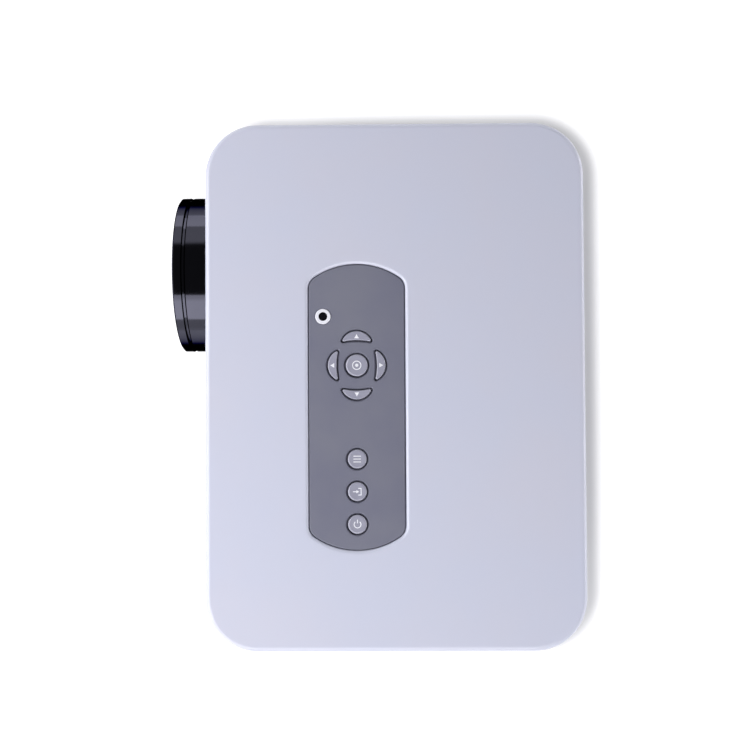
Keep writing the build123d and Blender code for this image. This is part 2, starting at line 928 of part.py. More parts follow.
for name, (turn, reach, inner) in arrows.items():
    make_key(
        name,
        lambda height, turn=turn: arrow_plane(height, turn),
        lambda grow=0.0, reach=reach, inner=inner: arrow_sketch(reach, inner, grow),
    )
round_keys = {"ok_key": ((ok_x, plate_y), ok_radius)}
for name, place in zip(("menu_key", "source_key", "power_key"), round_key_places):
    round_keys[name] = (place, round_key_radius)
for name, (place, radius) in round_keys.items():
    make_key(name, flat_plane, disc_sketch(place, radius), (place, radius - key_dish_rim))

with BuildPart() as ir_window_ring:
    with BuildSketch(flat_plane(plate_bottom)):
        with Locations((window_x, window_y)):
            Circle(window_ring_radius)
    extrude(amount=plate_thickness + window_proud)
    fillet(ir_window_ring.edges().group_by(Axis.Z)[-1], window_proud)
    with BuildSketch(flat_plane(plate_bottom - sheet)):
        with Locations((window_x, window_y)):
            Circle(window_ring_radius + sheet)
    extrude(amount=sheet)
    with BuildSketch(flat_plane(plate_bottom - sheet)):
        with Locations((window_x, window_y)):
            Circle(window_radius + press_gap)
    extrude(amount=plate_thickness + sheet + window_proud, mode=Mode.SUBTRACT)
save(ir_window_ring, "ir_window_ring")

with BuildPart() as ir_window:
    with BuildSketch(flat_plane(plate_bottom - 2 * sheet)):
        with Locations((window_x, window_y)):
            Circle(window_radius + sheet)
    extrude(amount=sheet)
    with BuildSketch(flat_plane(plate_bottom - sheet)):
        with Locations((window_x, window_y)):
            Circle(window_radius)
    extrude(amount=plate_thickness + sheet)
save(ir_window, "ir_window")

with BuildPart() as keypad_board:
    with BuildSketch(flat_plane(key_board_top - key_board_thickness)):
        with Locations((plate_x, plate_y)):
            RectangleRounded(plate_length - key_board_inset, plate_width - plate_flange, key_board_corner)
    extrude(amount=key_board_thickness)
    # Receiver for the remote control, under its window.
    with BuildSketch(flat_plane(key_board_top)):
        with Locations((window_x, window_y)):
            Rectangle(receiver_length, receiver_width)
    extrude(amount=plate_bottom - 2 * sheet - panel_gap - key_board_top)
save(keypad_board, "keypad_board")

with BuildPart() as tact_switches:
    with BuildSketch(flat_plane(key_board_top)):
        with Locations(*switch_places):
            RectangleRounded(switch_size, switch_size, switch_corner)
    extrude(amount=switch_height)
    with BuildSketch(flat_plane(key_board_top + switch_height)):
        with Locations(*switch_places):
            Circle(plunger_radius)
    extrude(amount=key_floor - key_travel - switch_gap - key_board_top - switch_height)
save(tact_switches, "tact_switches")

# ---------------------------------------------------------------------------------------------
# Lens. Profiles give the radius and the distance behind the front face of the case.
# ---------------------------------------------------------------------------------------------

rim_front = -lens_overhang
rim_back = rim_front + rim_width
groove_back = rim_back + groove_width
collar_bore = ring_radius - collar_wall
skirt_radius = collar_bore - slide_gap
ring_bore = barrel_radius + slide_gap
barrel_back = barrel_length - barrel_front
guide_radius = barrel_radius + guide_height
guide_tube_length = guide_start + guide_length + focus_travel + guide_runout - housing_start

with BuildPart() as lens_collar:
    with BuildSketch(turned_plane()):
        closed_profile(
            [
                (collar_bore, groove_back),
                (ring_radius - rim_chamfer, groove_back),
                (ring_radius, groove_back + rim_chamfer),
                (ring_radius, 0),
                (collar_radius, 0),
                (collar_radius, housing_start),
                (keyway_radius + slide_gap, housing_start),
                (keyway_radius + slide_gap, housing_start - collar_web),
                (collar_bore, housing_start - collar_web),
            ]
        )
    revolve(axis=lens_axis)
save(lens_collar, "lens_collar")

with BuildPart() as focus_ring:
    with BuildSketch(turned_plane()):
        closed_profile(
            [
                (ring_bore, rim_front + cone_depth),
                (ring_radius - rim_edge, rim_front),
                (ring_radius - rim_chamfer, rim_front),
                (ring_radius, rim_front + rim_chamfer),
                (ring_radius, rim_back),
                (ring_radius - groove_depth, rim_back),
                (ring_radius - groove_depth, groove_back - panel_gap),
                (skirt_radius, groove_back - panel_gap),
                (skirt_radius, ring_reach),
                (ring_bore, ring_reach),
            ]
        )
    revolve(axis=lens_axis)
save(focus_ring, "focus_ring")

seat_radius = barrel_radius - lens_seat_wall
shelf_radius = seat_radius - lens_shelf
front_shelf = -barrel_front + front_lens_dome + front_lens_edge + lens_shelf
rear_seat_radius = barrel_radius - rear_lens_wall
rear_shelf = barrel_back - rear_lens_edge - lens_shelf

with BuildPart() as lens_barrel:
    with BuildSketch(turned_plane()):
        closed_profile(
            [
                (seat_radius, -barrel_front),
                (barrel_radius, -barrel_front),
                (barrel_radius, barrel_back),
                (rear_seat_radius, barrel_back),
                (rear_seat_radius, rear_shelf),
                (rear_seat_radius - lens_shelf, rear_shelf),
                (shelf_radius, front_shelf),
                (seat_radius, front_shelf),
            ]
        )
    revolve(axis=lens_axis)
    # Three keys slide in the guide tube and keep the barrel from turning.
    with BuildSketch(lens_plane(front_face + guide_start)):
        with PolarLocations(0, 3, 90):
            with Locations((guide_radius - guide_height, 0)):
                Rectangle(2 * guide_height, guide_width)
        Circle(barrel_radius - panel_gap, mode=Mode.SUBTRACT)
    extrude(amount=-guide_length)
save(lens_barrel, "lens_barrel")


def lens_section(radius, flat, rim, apex):
    """Half section of a lens: flat side, edge, and a spherical side that peaks on the axis."""
    dome = abs(apex - rim)
    sphere = (radius**2 + dome**2) / (2 * dome)
    swell = sqrt(sphere**2 - (radius / 2) ** 2) - (sphere - dome)
    outward = 1 if apex > rim else -1
    with BuildLine() as outline:
        Polyline((0, apex), (0, flat), (radius, flat), (radius, rim))
        ThreePointArc((radius, rim), (radius / 2, rim + outward * swell), (0, apex))
    make_face(outline.edges())


front_rim = front_shelf - front_lens_edge
with BuildPart() as front_lens:
    with BuildSketch(turned_plane()):
        lens_section(seat_radius - press_gap, front_shelf, front_rim, front_rim - front_lens_dome)
    revolve(axis=lens_axis)
save(front_lens, "front_lens")

rear_rim = rear_shelf + rear_lens_edge
with BuildPart() as rear_lens:
    with BuildSketch(turned_plane()):
        lens_section(rear_seat_radius - press_gap, rear_shelf, rear_rim, rear_rim + rear_lens_dome)
    revolve(axis=lens_axis)
save(rear_lens, "rear_lens")

with BuildPart() as lens_retaining_ring:
    with BuildSketch(turned_plane()):
        closed_profile(
            [
                (seat_radius - press_gap, front_rim - panel_fit),
                (seat_radius - press_gap, front_rim - panel_fit - retainer_width),
                (seat_radius - retainer_lip, front_rim - panel_fit - retainer_width),
                (seat_radius - retainer_lip, front_rim - panel_fit - retainer_width / 2),
                (seat_radius - retainer_lip / 2, front_rim - panel_fit - retainer_width / 4),
            ]
        )
    revolve(axis=lens_axis)
save(lens_retaining_ring, "lens_retaining_ring")

# ---------------------------------------------------------------------------------------------
# Light path
# ---------------------------------------------------------------------------------------------

housing_inner_width = housing_width - 2 * housing_wall
housing_inner_height = housing_height - 2 * housing_wall
rib_thickness = panel_pitch - panel_thickness - 2 * panel_gap
lid_bottom = housing_height / 2 - housing_wall

with BuildPart() as optical_housing:
    with BuildSketch(lens_plane(front_face + housing_start)):
        with Locations((0, -housing_wall / 2)):
            Rectangle(housing_width, housing_height - housing_wall)
    extrude(amount=-(housing_end - housing_start))
    with BuildSketch(lens_plane(front_face + housing_start + housing_wall)):
        Rectangle(housing_inner_width, housing_inner_height)
    extrude(amount=-(housing_end - housing_start - housing_wall), mode=Mode.SUBTRACT)
    # Guide tube of the lens barrel, with its three keyways.
    with BuildSketch(lens_plane(front_face + housing_start)):
        Circle(tube_radius)
    extrude(amount=-guide_tube_length)
    # Ribs that hold the three flat panels at both sides.
    for place in range(4):
        rib = panel_slot_start - panel_gap - rib_thickness + place * panel_pitch
        with BuildSketch(lens_plane(front_face + rib)):
            for side in (-1, 1):
                with Locations((side * (housing_inner_width - rib_depth) / 2, 0)):
                    Rectangle(rib_depth, housing_inner_height - panel_gap)
        extrude(amount=-rib_thickness)
    # Wall that carries the condenser lens.
    with BuildSketch(lens_plane(front_face + condenser_place)):
        Rectangle(housing_inner_width, housing_inner_height - panel_gap)
    extrude(amount=-condenser_wall)
    with BuildSketch(lens_plane(front_face + condenser_place)):
        Circle(condenser_radius - rib_depth)
    extrude(amount=-condenser_wall, mode=Mode.SUBTRACT)
    with BuildSketch(lens_plane(front_face + condenser_place + condenser_shelf)):
        Circle(condenser_radius + press_gap)
    extrude(amount=-condenser_wall, mode=Mode.SUBTRACT)
    with BuildSketch(lens_plane(front_face + housing_start)):
        Circle(ring_bore)
        with PolarLocations(0, 3, 90):
            with Locations((keyway_radius / 2, 0)):
                Rectangle(keyway_radius, guide_width + 2 * slide_gap)
    extrude(amount=-guide_tube_length, mode=Mode.SUBTRACT)
save(optical_housing, "optical_housing")

with BuildPart() as optical_lid:
    with BuildSketch(flat_plane(lens_height + lid_bottom)):
        with Locations((lens_x, front_face + (housing_start + housing_end) / 2)):
            Rectangle(housing_width, housing_end - housing_start)
    extrude(amount=housing_wall)
    with BuildSketch(flat_plane(lens_height + lid_bottom)):
        with Locations((lens_x, front_face + panel_slot_start - lid_slot_setback)):
            with GridLocations(lid_slot_pitch, 1, lid_slots, 1):
                SlotOverall(lid_slot_length, slat_width, rotation=90)
    extrude(amount=housing_wall, mode=Mode.SUBTRACT)
save(optical_lid, "optical_lid")


def flat_panel(place):
    """One flat panel of the light path in its slot."""
    with BuildSketch(lens_plane(front_face + panel_slot_start + place * panel_pitch)) as panel:
        Rectangle(housing_inner_width - 2 * panel_gap, housing_inner_height - 2 * panel_gap)
    extrude(panel.sketch, amount=-panel_thickness)


with BuildPart() as fresnel_lenses:
    flat_panel(0)
    flat_panel(2)
save(fresnel_lenses, "fresnel_lenses")

with BuildPart() as lcd_panel:
    flat_panel(1)
    with BuildSketch(lens_plane(front_face + panel_slot_start + panel_pitch)):
        Rectangle(housing_inner_width - 2 * lcd_frame, housing_inner_height - 2 * lcd_frame)
    extrude(amount=-panel_gap, mode=Mode.SUBTRACT)
save(lcd_panel, "lcd_panel")

condenser_flat = condenser_place + condenser_shelf
condenser_rim = condenser_flat + condenser_edge
with BuildPart() as condenser_lens:
    with BuildSketch(turned_plane()):
        lens_section(condenser_radius, condenser_flat, condenser_rim, condenser_rim + condenser_dome)
    revolve(axis=lens_axis)
save(condenser_lens, "condenser_lens")

with BuildPart() as led_module:
    with BuildSketch(lens_plane(front_face + housing_end)):
        RectangleRounded(led_board, led_board, led_board_thickness)
    extrude(amount=led_board_thickness)
    with BuildSketch(lens_plane(front_face + housing_end - led_board_thickness)):
        Circle(led_radius)
    extrude(amount=sheet)
save(led_module, "led_module")

with BuildPart() as heat_sink:
    with BuildSketch(lens_plane(front_face + housing_end)):
        Rectangle(housing_width, housing_height)
    extrude(amount=-sink_base)
    with BuildSketch(lens_plane(front_face + housing_end + sink_base)):
        with GridLocations(fin_pitch, 1, fin_count, 1):
            Rectangle(fin_thickness, housing_height)
    extrude(amount=-fin_depth)
save(heat_sink, "heat_sink")

# ---------------------------------------------------------------------------------------------
# Fans
# ---------------------------------------------------------------------------------------------


def make_fan(name, base, size, thickness):
    """A boxed axial fan that stands on the plane of its wall: frame first, then the bladed rotor."""
    bore = size / 2 - fan_frame_wall
    hub = bore * fan_hub_share
    bearing = thickness / 2
    hole_place = size - 2 * fan_hole_inset
    with BuildPart() as frame:
        with BuildSketch(base):
            RectangleRounded(size, size, fan_hole_inset)
            Circle(bore, mode=Mode.SUBTRACT)
            with GridLocations(hole_place, hole_place, 2, 2):
                Circle(fan_hole_radius, mode=Mode.SUBTRACT)
        extrude(amount=thickness)
        with BuildSketch(base):
            Circle(hub)
            with PolarLocations(0, 4, 45):
                with Locations((bore / 2, 0)):
                    Rectangle(bore + fan_frame_wall, fan_strut)
        extrude(amount=fan_floor)
        with BuildSketch(base.offset(fan_floor)):
            Circle(2 * fan_shaft)
        extrude(amount=bearing - fan_floor)
        with BuildSketch(base.offset(fan_floor)):
            Circle(fan_shaft + shaft_gap)
        extrude(amount=bearing - fan_floor, mode=Mode.SUBTRACT)
    save(frame, f"{name}_frame")

    rotor_floor = fan_floor + fan_tip_gap
    rotor_top = thickness - fan_tip_gap
    room = rotor_top - rotor_floor
    middle = (rotor_top + rotor_floor) / 2
    tip = bore - fan_tip_gap
    with BuildPart() as rotor:
        # Twisted blades, lofted from hub to tip and trimmed round.
        for blade in range(fan_blades):
            angle = radians(360 * blade / fan_blades)
            out = base.x_dir * cos(angle) + base.y_dir * sin(angle)
            around = base.y_dir * cos(angle) - base.x_dir * sin(angle)
            for reach, pitch in ((hub - fan_shaft, blade_root_pitch), (tip + fan_tip_gap, blade_tip_pitch)):
                spot = base.origin + out * reach + base.z_dir * middle
                chord = blade_fill * room / sin(radians(pitch))
                with BuildSketch(Plane(origin=spot, x_dir=around, z_dir=out)):
                    Rectangle(chord, blade_thickness, rotation=pitch)
            loft()
        with BuildSketch(base.offset(rotor_floor)):
            Circle(tip)
        extrude(amount=room, mode=Mode.INTERSECT)
        with BuildSketch(base.offset(rotor_floor)):
            Circle(hub)
        extrude(amount=room)
        with BuildSketch(base.offset(rotor_floor)):
            Circle(hub - fan_hub_wall)
        extrude(amount=room - blade_thickness, mode=Mode.SUBTRACT)
        with BuildSketch(base.offset(fan_floor + panel_gap)):
            Circle(fan_shaft)
        extrude(amount=rotor_top - fan_floor - panel_gap)
    save(rotor, f"{name}_rotor")


exhaust_base = Plane(origin=(lens_x, rear_face - wall, lens_height), x_dir=(1, 0, 0), z_dir=(0, -1, 0))
intake_base = Plane(origin=(left_face + wall, intake_y, lens_height), x_dir=(0, 1, 0), z_dir=(1, 0, 0))
make_fan("exhaust_fan", exhaust_base, exhaust_size, exhaust_thickness)
make_fan("intake_fan", intake_base, intake_size, intake_thickness)

# ---------------------------------------------------------------------------------------------
# Speakers
# ---------------------------------------------------------------------------------------------

cone_radius = speaker_radius - basket_wall - cone_gap
speaker_y = front_face + wall


def speaker_parts(profile):
    """Turn the same profile about both speaker axes."""
    for x in speaker_places:
        spot = (x, speaker_y, speaker_height)
        with BuildSketch(Plane(origin=spot, x_dir=(0, 0, 1), z_dir=(-1, 0, 0))) as section:
            closed_profile(profile)
        revolve(section.sketch, axis=Axis(spot, (0, 1, 0)))


with BuildPart() as speaker_frames:
    speaker_parts(
        [
            (speaker_radius - speaker_rim, 0),
            (speaker_radius, 0),
            (speaker_radius, speaker_flange),
            (speaker_radius - speaker_rim / 2, speaker_flange),
            (basket_radius, basket_shoulder),
            (basket_radius, speaker_depth),
            (0, speaker_depth),
            (0, magnet_front),
            (basket_radius - basket_wall, magnet_front),
            (basket_radius - basket_wall, magnet_step),
            (speaker_radius - speaker_rim, speaker_flange),
        ]
    )
save(speaker_frames, "speaker_frames")

with BuildPart() as speaker_cones:
    speaker_parts(
        [
            (cone_radius, cone_start),
            (cone_radius, cone_start + cone_edge),
            (cone_radius - cone_roll, cone_start + cone_edge),
            (coil_radius, cone_depth_back),
            (coil_radius, coil_end),
            (coil_radius - coil_wall, coil_end),
            (coil_radius - coil_wall, cone_depth_back - cone_start),
            (0, cap_front + cap_wall),
            (0, cap_front),
            (cap_radius, cone_depth_back - cone_edge - cone_start),
            (cone_radius - cone_roll, cone_start),
        ]
    )
save(speaker_cones, "speaker_cones")

# ---------------------------------------------------------------------------------------------
# Boards and sockets. Each socket: centre across, width, height, and how high its middle lies.
# ---------------------------------------------------------------------------------------------

usb_z = board_top + usb_height / 2
hdmi_z = board_top + hdmi_height / 2
vga_z = board_top + vga_height / 2 + vga_lift
jack_z = board_top + jack_width / 2
jack_places = [board_left + offset for offset in jack_offsets]
usb_x = board_left + usb_offset
hdmi_x = board_left + hdmi_offset
vga_x = board_left + vga_offset
inlet_x = power_board_right - power_board_width / 2 - inlet_shift
inlet_z = board_top + inlet_lift + inlet_height / 2
socket_face = rear_face - socket_setback
cuts = [
    (usb_x, usb_z, usb_width, usb_height),
    (hdmi_x, hdmi_z, hdmi_width, hdmi_height),
    (vga_x, vga_z, vga_width, vga_height),
    (inlet_x, inlet_z, inlet_width, inlet_height),
]

with BuildPart() as rear_panel:
    with BuildSketch(front_plane(rear_face)):
        with Locations((panel_centre, (panel_sill + parting) / 2 - panel_fit / 2)):
            Rectangle(panel_width, parting - panel_sill - panel_fit)
    extrude(amount=wall)
    with BuildSketch(front_plane(rear_face - wall)):
        with Locations((panel_centre, (panel_sill - panel_rebate + parting) / 2 - panel_fit / 2)):
            Rectangle(panel_width + 2 * panel_rebate, parting - panel_sill + panel_rebate - panel_fit)
    extrude(amount=panel_flange)
    with BuildSketch(front_plane(rear_face)):
        for x, z, width, height in cuts:
            with Locations((x, z)):
                Rectangle(width + 2 * panel_fit, height + 2 * panel_fit)
        for x in jack_places:
            with Locations((x, jack_z)):
                Circle(jack_nose + panel_fit)
    extrude(amount=wall + panel_flange, mode=Mode.SUBTRACT)
save(rear_panel, "rear_panel")

with BuildPart() as main_board:
    with BuildSketch(flat_plane(board_z)):
        with Locations((board_left, board_back)):
            Rectangle(main_board_width, main_board_depth, align=(Align.MIN, Align.MAX))
    extrude(amount=board_thickness)
    # Processor with its ribbed cooler, memory, a coil and a row of capacitors.
    board_middle = (board_left + main_board_width / 2, board_back - main_board_depth / 2)
    with BuildSketch(flat_plane(board_top)):
        with Locations(board_middle):
            Rectangle(processor_size, processor_size)
        with Locations((board_middle[0] + processor_size, board_middle[1])):
            Rectangle(*memory_size)
        with Locations((board_middle[0] - processor_size, board_middle[1] - decoder_shift)):
            Rectangle(*decoder_size)
    extrude(amount=chip_height)
    with BuildSketch(flat_plane(board_top + chip_height)):
        with Locations(board_middle):
            with GridLocations(cooler_pitch, 1, cooler_fins, 1):
                Rectangle(cooler_fin, processor_size)
    extrude(amount=cooler_height)
    with BuildSketch(flat_plane(board_top)):
        with Locations((board_middle[0], board_middle[1] - capacitor_row)):
            with GridLocations(capacitor_pitch, 1, capacitor_count, 1):
                Circle(capacitor_radius)
    extrude(amount=capacitor_height)
save(main_board, "main_board")

power_middle = (power_board_right - power_board_width / 2, power_board_back - power_board_depth / 2)
with BuildPart() as power_board:
    with BuildSketch(flat_plane(board_z)):
        with Locations(power_middle):
            Rectangle(power_board_width, power_board_depth)
        with Locations((inlet_x, power_board_back)):
            Rectangle(inlet_width, 2 * (board_back - power_board_back))
    extrude(amount=board_thickness)
    # Transformer, mains capacitor, line filter and two output capacitors.
    with BuildSketch(flat_plane(board_top)):
        with Locations(power_middle):
            Rectangle(*transformer_size)
    extrude(amount=transformer_height)
    with BuildSketch(flat_plane(board_top)):
        with Locations((power_middle[0] - mains_capacitor_shift, power_middle[1] + mains_row)):
            Circle(mains_capacitor_radius)
        with Locations((power_middle[0] + line_filter_shift, power_middle[1] + mains_row)):
            Rectangle(*line_filter_size)
    extrude(amount=mains_height)
    with BuildSketch(flat_plane(board_top)):
        with Locations((power_middle[0], power_middle[1] - mains_row)):
            with GridLocations(output_capacitor_pitch, 1, 2, 1):
                Circle(output_capacitor_radius)
    extrude(amount=output_capacitor_height)
save(power_board, "power_board")


def socket_shell(x, z, width, height, depth):
    """A thin metal shell that opens to the rear, with a tongue inside."""
    with BuildSketch(front_plane(socket_face)) as body:
        with Locations((x, z)):
            Rectangle(width, height)
    extrude(body.sketch, amount=depth)
    with BuildSketch(front_plane(socket_face)) as mouth:
        with Locations((x, z)):
            Rectangle(width - 2 * shell_wall, height - 2 * shell_wall)
            Rectangle(width - 6 * shell_wall, tongue, mode=Mode.SUBTRACT)
    extrude(mouth.sketch, amount=depth - tongue, mode=Mode.SUBTRACT)


with BuildPart() as usb_socket:
    socket_shell(usb_x, usb_z, usb_width, usb_height, socket_depth)
save(usb_socket, "usb_socket")

with BuildPart() as hdmi_socket:
    socket_shell(hdmi_x, hdmi_z, hdmi_width, hdmi_height, socket_depth)
    # The lower corners of the shell are cut off.
    with BuildSketch(front_plane(socket_face)):
        for side in (-1, 1):
            corner = (hdmi_x + side * hdmi_width / 2, board_top)
            cut = side * (shell_wall - panel_fit)
            closed_profile([corner, (corner[0] - cut, corner[1]), (corner[0], corner[1] + abs(cut))])
    extrude(amount=socket_depth, mode=Mode.SUBTRACT)
save(hdmi_socket, "hdmi_socket")

with BuildPart() as vga_socket:
    with BuildSketch(front_plane(socket_face)):
        with Locations((vga_x, vga_z)):
            RectangleRounded(vga_width, vga_height, 1)
            with GridLocations(vga_screw_spacing, 1, 2, 1):
                Circle(vga_screw_radius, mode=Mode.SUBTRACT)
    extrude(amount=socket_depth)
    with BuildSketch(front_plane(socket_face)):
        with Locations((vga_x, vga_z)):
            Trapezoid(*vga_shell, vga_slope, rotation=180)
            Trapezoid(*vga_plug, vga_slope, rotation=180, mode=Mode.SUBTRACT)
    extrude(amount=socket_depth / 2, mode=Mode.SUBTRACT)
save(vga_socket, "vga_socket")

with BuildPart() as audio_jacks:
    with BuildSketch(front_plane(rear_face - wall - panel_flange)):
        for x in jack_places:
            with Locations((x, jack_z)):
                Rectangle(jack_width, jack_width)
    extrude(amount=socket_depth)
    with BuildSketch(front_plane(socket_face)):
        for x in jack_places:
            with Locations((x, jack_z)):
                Circle(jack_nose)
    extrude(amount=socket_depth / 2)
    with BuildSketch(front_plane(socket_face)):
        for x in jack_places:
            with Locations((x, jack_z)):
                Circle(jack_radius)
    extrude(amount=socket_depth, mode=Mode.SUBTRACT)
save(audio_jacks, "audio_jacks")

with BuildPart() as ac_inlet:
    with BuildSketch(front_plane(socket_face)):
        with Locations((inlet_x, inlet_z)):
            RectangleRounded(inlet_width, inlet_height, 1)
    extrude(amount=inlet_depth)
    # Figure-of-eight mouth with a pin in each lobe.
    with BuildSketch(front_plane(socket_face)):
        with Locations((inlet_x, inlet_z)):
            with GridLocations(pin_spacing, 1, 2, 1):
                Circle(inlet_lobe)
            Rectangle(pin_spacing, inlet_bridge)
            with GridLocations(pin_spacing, 1, 2, 1):
                Circle(pin_radius, mode=Mode.SUBTRACT)
    extrude(amount=inlet_cavity, mode=Mode.SUBTRACT)
    # Legs that stand on the power board.
    with BuildSketch(flat_plane(board_top)):
        with Locations((inlet_x, socket_face - inlet_depth + tongue)):
            with GridLocations(inlet_width - 2 * leg_inset, 1, 2, 1):
                Rectangle(tongue, 2 * tongue)
    extrude(amount=inlet_z - board_top)
save(ac_inlet, "ac_inlet")

# ---------------------------------------------------------------------------------------------
# DVD drive
# ---------------------------------------------------------------------------------------------

chassis_middle = ((chassis_front + chassis_back) / 2, case_y)
cover_bottom = drive_top - sheet
plate_sheet_top = inner_low + sheet
rail_z = deck_bottom - rail_height / 2
rod_z = plate_sheet_top + rod_lift
sled_x = disc_x - sled_start
traverse_start = tray_back + tray_skirt + panel_gap
traverse_end = disc_x + traverse_reach
traverse_middle = (traverse_start + traverse_end) / 2
traverse_length = traverse_end - traverse_start
clip_top = rod_z + rod_radius + pan_gap
clip_places = [traverse_start, disc_x - spindle_radius - motor_room]
motor_x = clip_places[1] + clip_width + slide_gap
cover_posts = [
    (power_middle[0] + x, power_middle[1] + y)
    for x in (board_post_inset - power_board_width / 2, power_board_width / 2 - board_post_inset)
    for y in (cover_post_inset - power_board_depth / 2, power_board_depth / 2 - cover_post_inset)
] + [(board_left + main_board_width - board_post_inset, board_back - main_board_depth + board_post_inset)]

with BuildPart() as drive_chassis:
    with BuildSketch(flat_plane(drive_z)):
        with Locations(chassis_middle):
            Rectangle(drive_depth, drive_width)
    extrude(amount=drive_height - sheet)
    with BuildSketch(flat_plane(drive_z + sheet)):
        with Locations((chassis_middle[0] + sheet, case_y)):
            Rectangle(drive_depth, drive_width - 2 * sheet)
    extrude(amount=drive_height, mode=Mode.SUBTRACT)
    # Inward flanges over the rails, and openings in the pan.
    with BuildSketch(flat_plane(cover_bottom - sheet)):
        for side in (-1, 1):
            with Locations((chassis_middle[0], case_y + side * (drive_width / 2 - sheet - chassis_lip / 2))):
                Rectangle(drive_depth, chassis_lip)
    extrude(amount=sheet)
    with BuildSketch(flat_plane(drive_z)):
        with Locations((disc_x, case_y)):
            with GridLocations(pan_hole_x, pan_hole_y, 2, 2):
                SlotOverall(4 * rail_height, rail_height)
    extrude(amount=sheet, mode=Mode.SUBTRACT)
save(drive_chassis, "drive_chassis")

with BuildPart() as drive_cover:
    with BuildSketch(flat_plane(cover_bottom)):
        with Locations(chassis_middle):
            Rectangle(drive_depth, drive_width)
    extrude(amount=sheet)
    # Pressed ring over the disc, and spacers under the boards.
    with BuildSketch(flat_plane(drive_top)):
        with Locations((disc_x, case_y)):
            Circle(disc_radius - rail_height)
            Circle(disc_radius - 2 * rail_height, mode=Mode.SUBTRACT)
    extrude(amount=sheet / 2)
    with BuildSketch(flat_plane(drive_top)):
        with Locations(*cover_posts):
            Circle(standoff_radius)
    extrude(amount=board_lift)
save(drive_cover, "drive_cover")

rail_front = chassis_front - rail_setback
with BuildPart() as slide_rails:
    with BuildSketch(flat_plane(rail_z - rail_height / 2)):
        for side in (-1, 1):
            with Locations(((rail_front + tray_back) / 2, case_y + side * rail_y)):
                Rectangle(rail_front - tray_back, rail_width)
    extrude(amount=rail_height)
    # A groove along the outside of each rail.
    with BuildSketch(flat_plane(rail_z - rail_height / 4)):
        for side in (-1, 1):
            with Locations(((rail_front + tray_back) / 2, case_y + side * (rail_y + rail_width / 2))):
                Rectangle(rail_front - tray_back, rail_width)
    extrude(amount=rail_height / 2, mode=Mode.SUBTRACT)
save(slide_rails, "slide_rails")

tray_middle = ((bezel_back + tray_back) / 2, case_y)
slot_end = sled_x - sled_back - sled_travel - slide_gap
with BuildPart() as disc_tray:
    with BuildSketch(flat_plane(inner_low)):
        with Locations(tray_middle):
            Rectangle(bezel_back - tray_back, tray_width)
    extrude(amount=tray_top - inner_low)
    with BuildSketch(flat_plane(inner_low)):
        with Locations(tray_middle):
            Rectangle(bezel_back - tray_back - 2 * tray_skirt, tray_width - 2 * tray_skirt)
    extrude(amount=deck_bottom - inner_low, mode=Mode.SUBTRACT)
    # Bosses that carry the traverse plate.
    with BuildSketch(flat_plane(plate_sheet_top)):
        with Locations((traverse_middle, case_y)):
            with GridLocations(traverse_length - 2 * post_inset, traverse_width - 2 * board_post_inset, 2, 2):
                Circle(standoff_radius)
    extrude(amount=deck_bottom - plate_sheet_top)
    # Disc recess with a smaller step, then the openings for the hub and the pickup.
    with BuildSketch(flat_plane(disc_floor)):
        with Locations((disc_x, case_y)):
            Circle(disc_radius + disc_play)
    extrude(amount=tray_top - disc_floor, mode=Mode.SUBTRACT)
    with BuildSketch(flat_plane(deck_bottom)):
        with Locations((disc_x, case_y)):
            Circle(hub_flange_radius + disc_play)
        with Locations(((disc_x + slot_end) / 2, case_y)):
            Rectangle(disc_x - slot_end, sled_width + 2 * slot_room)
    extrude(amount=tray_floor, mode=Mode.SUBTRACT)
save(disc_tray, "disc_tray")

button_y = case_y - button_from_middle
with BuildPart() as tray_bezel:
    with BuildSketch(flat_plane(bezel_bottom)):
        case_sketch()
        with Locations((bezel_back, case_y)):
            Rectangle(bezel_thickness, drive_width, align=(Align.MIN, Align.CENTER), mode=Mode.INTERSECT)
    extrude(amount=bezel_height)
    # Window of the eject button, with a pocket behind it for the button's flange.
    with BuildSketch(side_plane(bezel_back)):
        with Locations((button_y, bezel_middle)):
            RectangleRounded(
                button_width + 2 * slide_gap, button_height + 2 * slide_gap, bezel_window_corner
            )
    extrude(amount=bezel_thickness, mode=Mode.SUBTRACT)
    with BuildSketch(side_plane(bezel_back)):
        with Locations((button_y, bezel_middle)):
            Rectangle(button_width + 4 * button_flange, button_height + 4 * button_flange)
    extrude(amount=button_pocket, mode=Mode.SUBTRACT)
    # Hole of the emergency release, and a shallow window for the busy light.
    with BuildSketch(side_plane(right_face)):
        with Locations((button_y + release_offset, bezel_middle)):
            Circle(release_radius)
        with Locations((button_y - release_offset, bezel_middle)):
            Rectangle(2 * sheet, 2 * sheet)
    extrude(amount=-bezel_thickness / 2, mode=Mode.SUBTRACT)
save(tray_bezel, "tray_bezel")

button_seat = bezel_back + button_pocket - press_gap
with BuildPart() as eject_button:
    with BuildSketch(side_plane(button_seat)):
        with Locations((button_y, bezel_middle)):
            RectangleRounded(button_width, button_height, button_corner)
    extrude(amount=right_face - panel_fit - button_seat)
    fillet(eject_button.faces().sort_by(Axis.X)[-1].edges(), key_edge)
    with BuildSketch(side_plane(button_seat)):
        with Locations((button_y, bezel_middle)):
            Rectangle(button_width + 2 * button_flange, button_height + 2 * button_flange)
    extrude(amount=-(button_pocket - button_travel - 2 * press_gap))
save(eject_button, "eject_button")

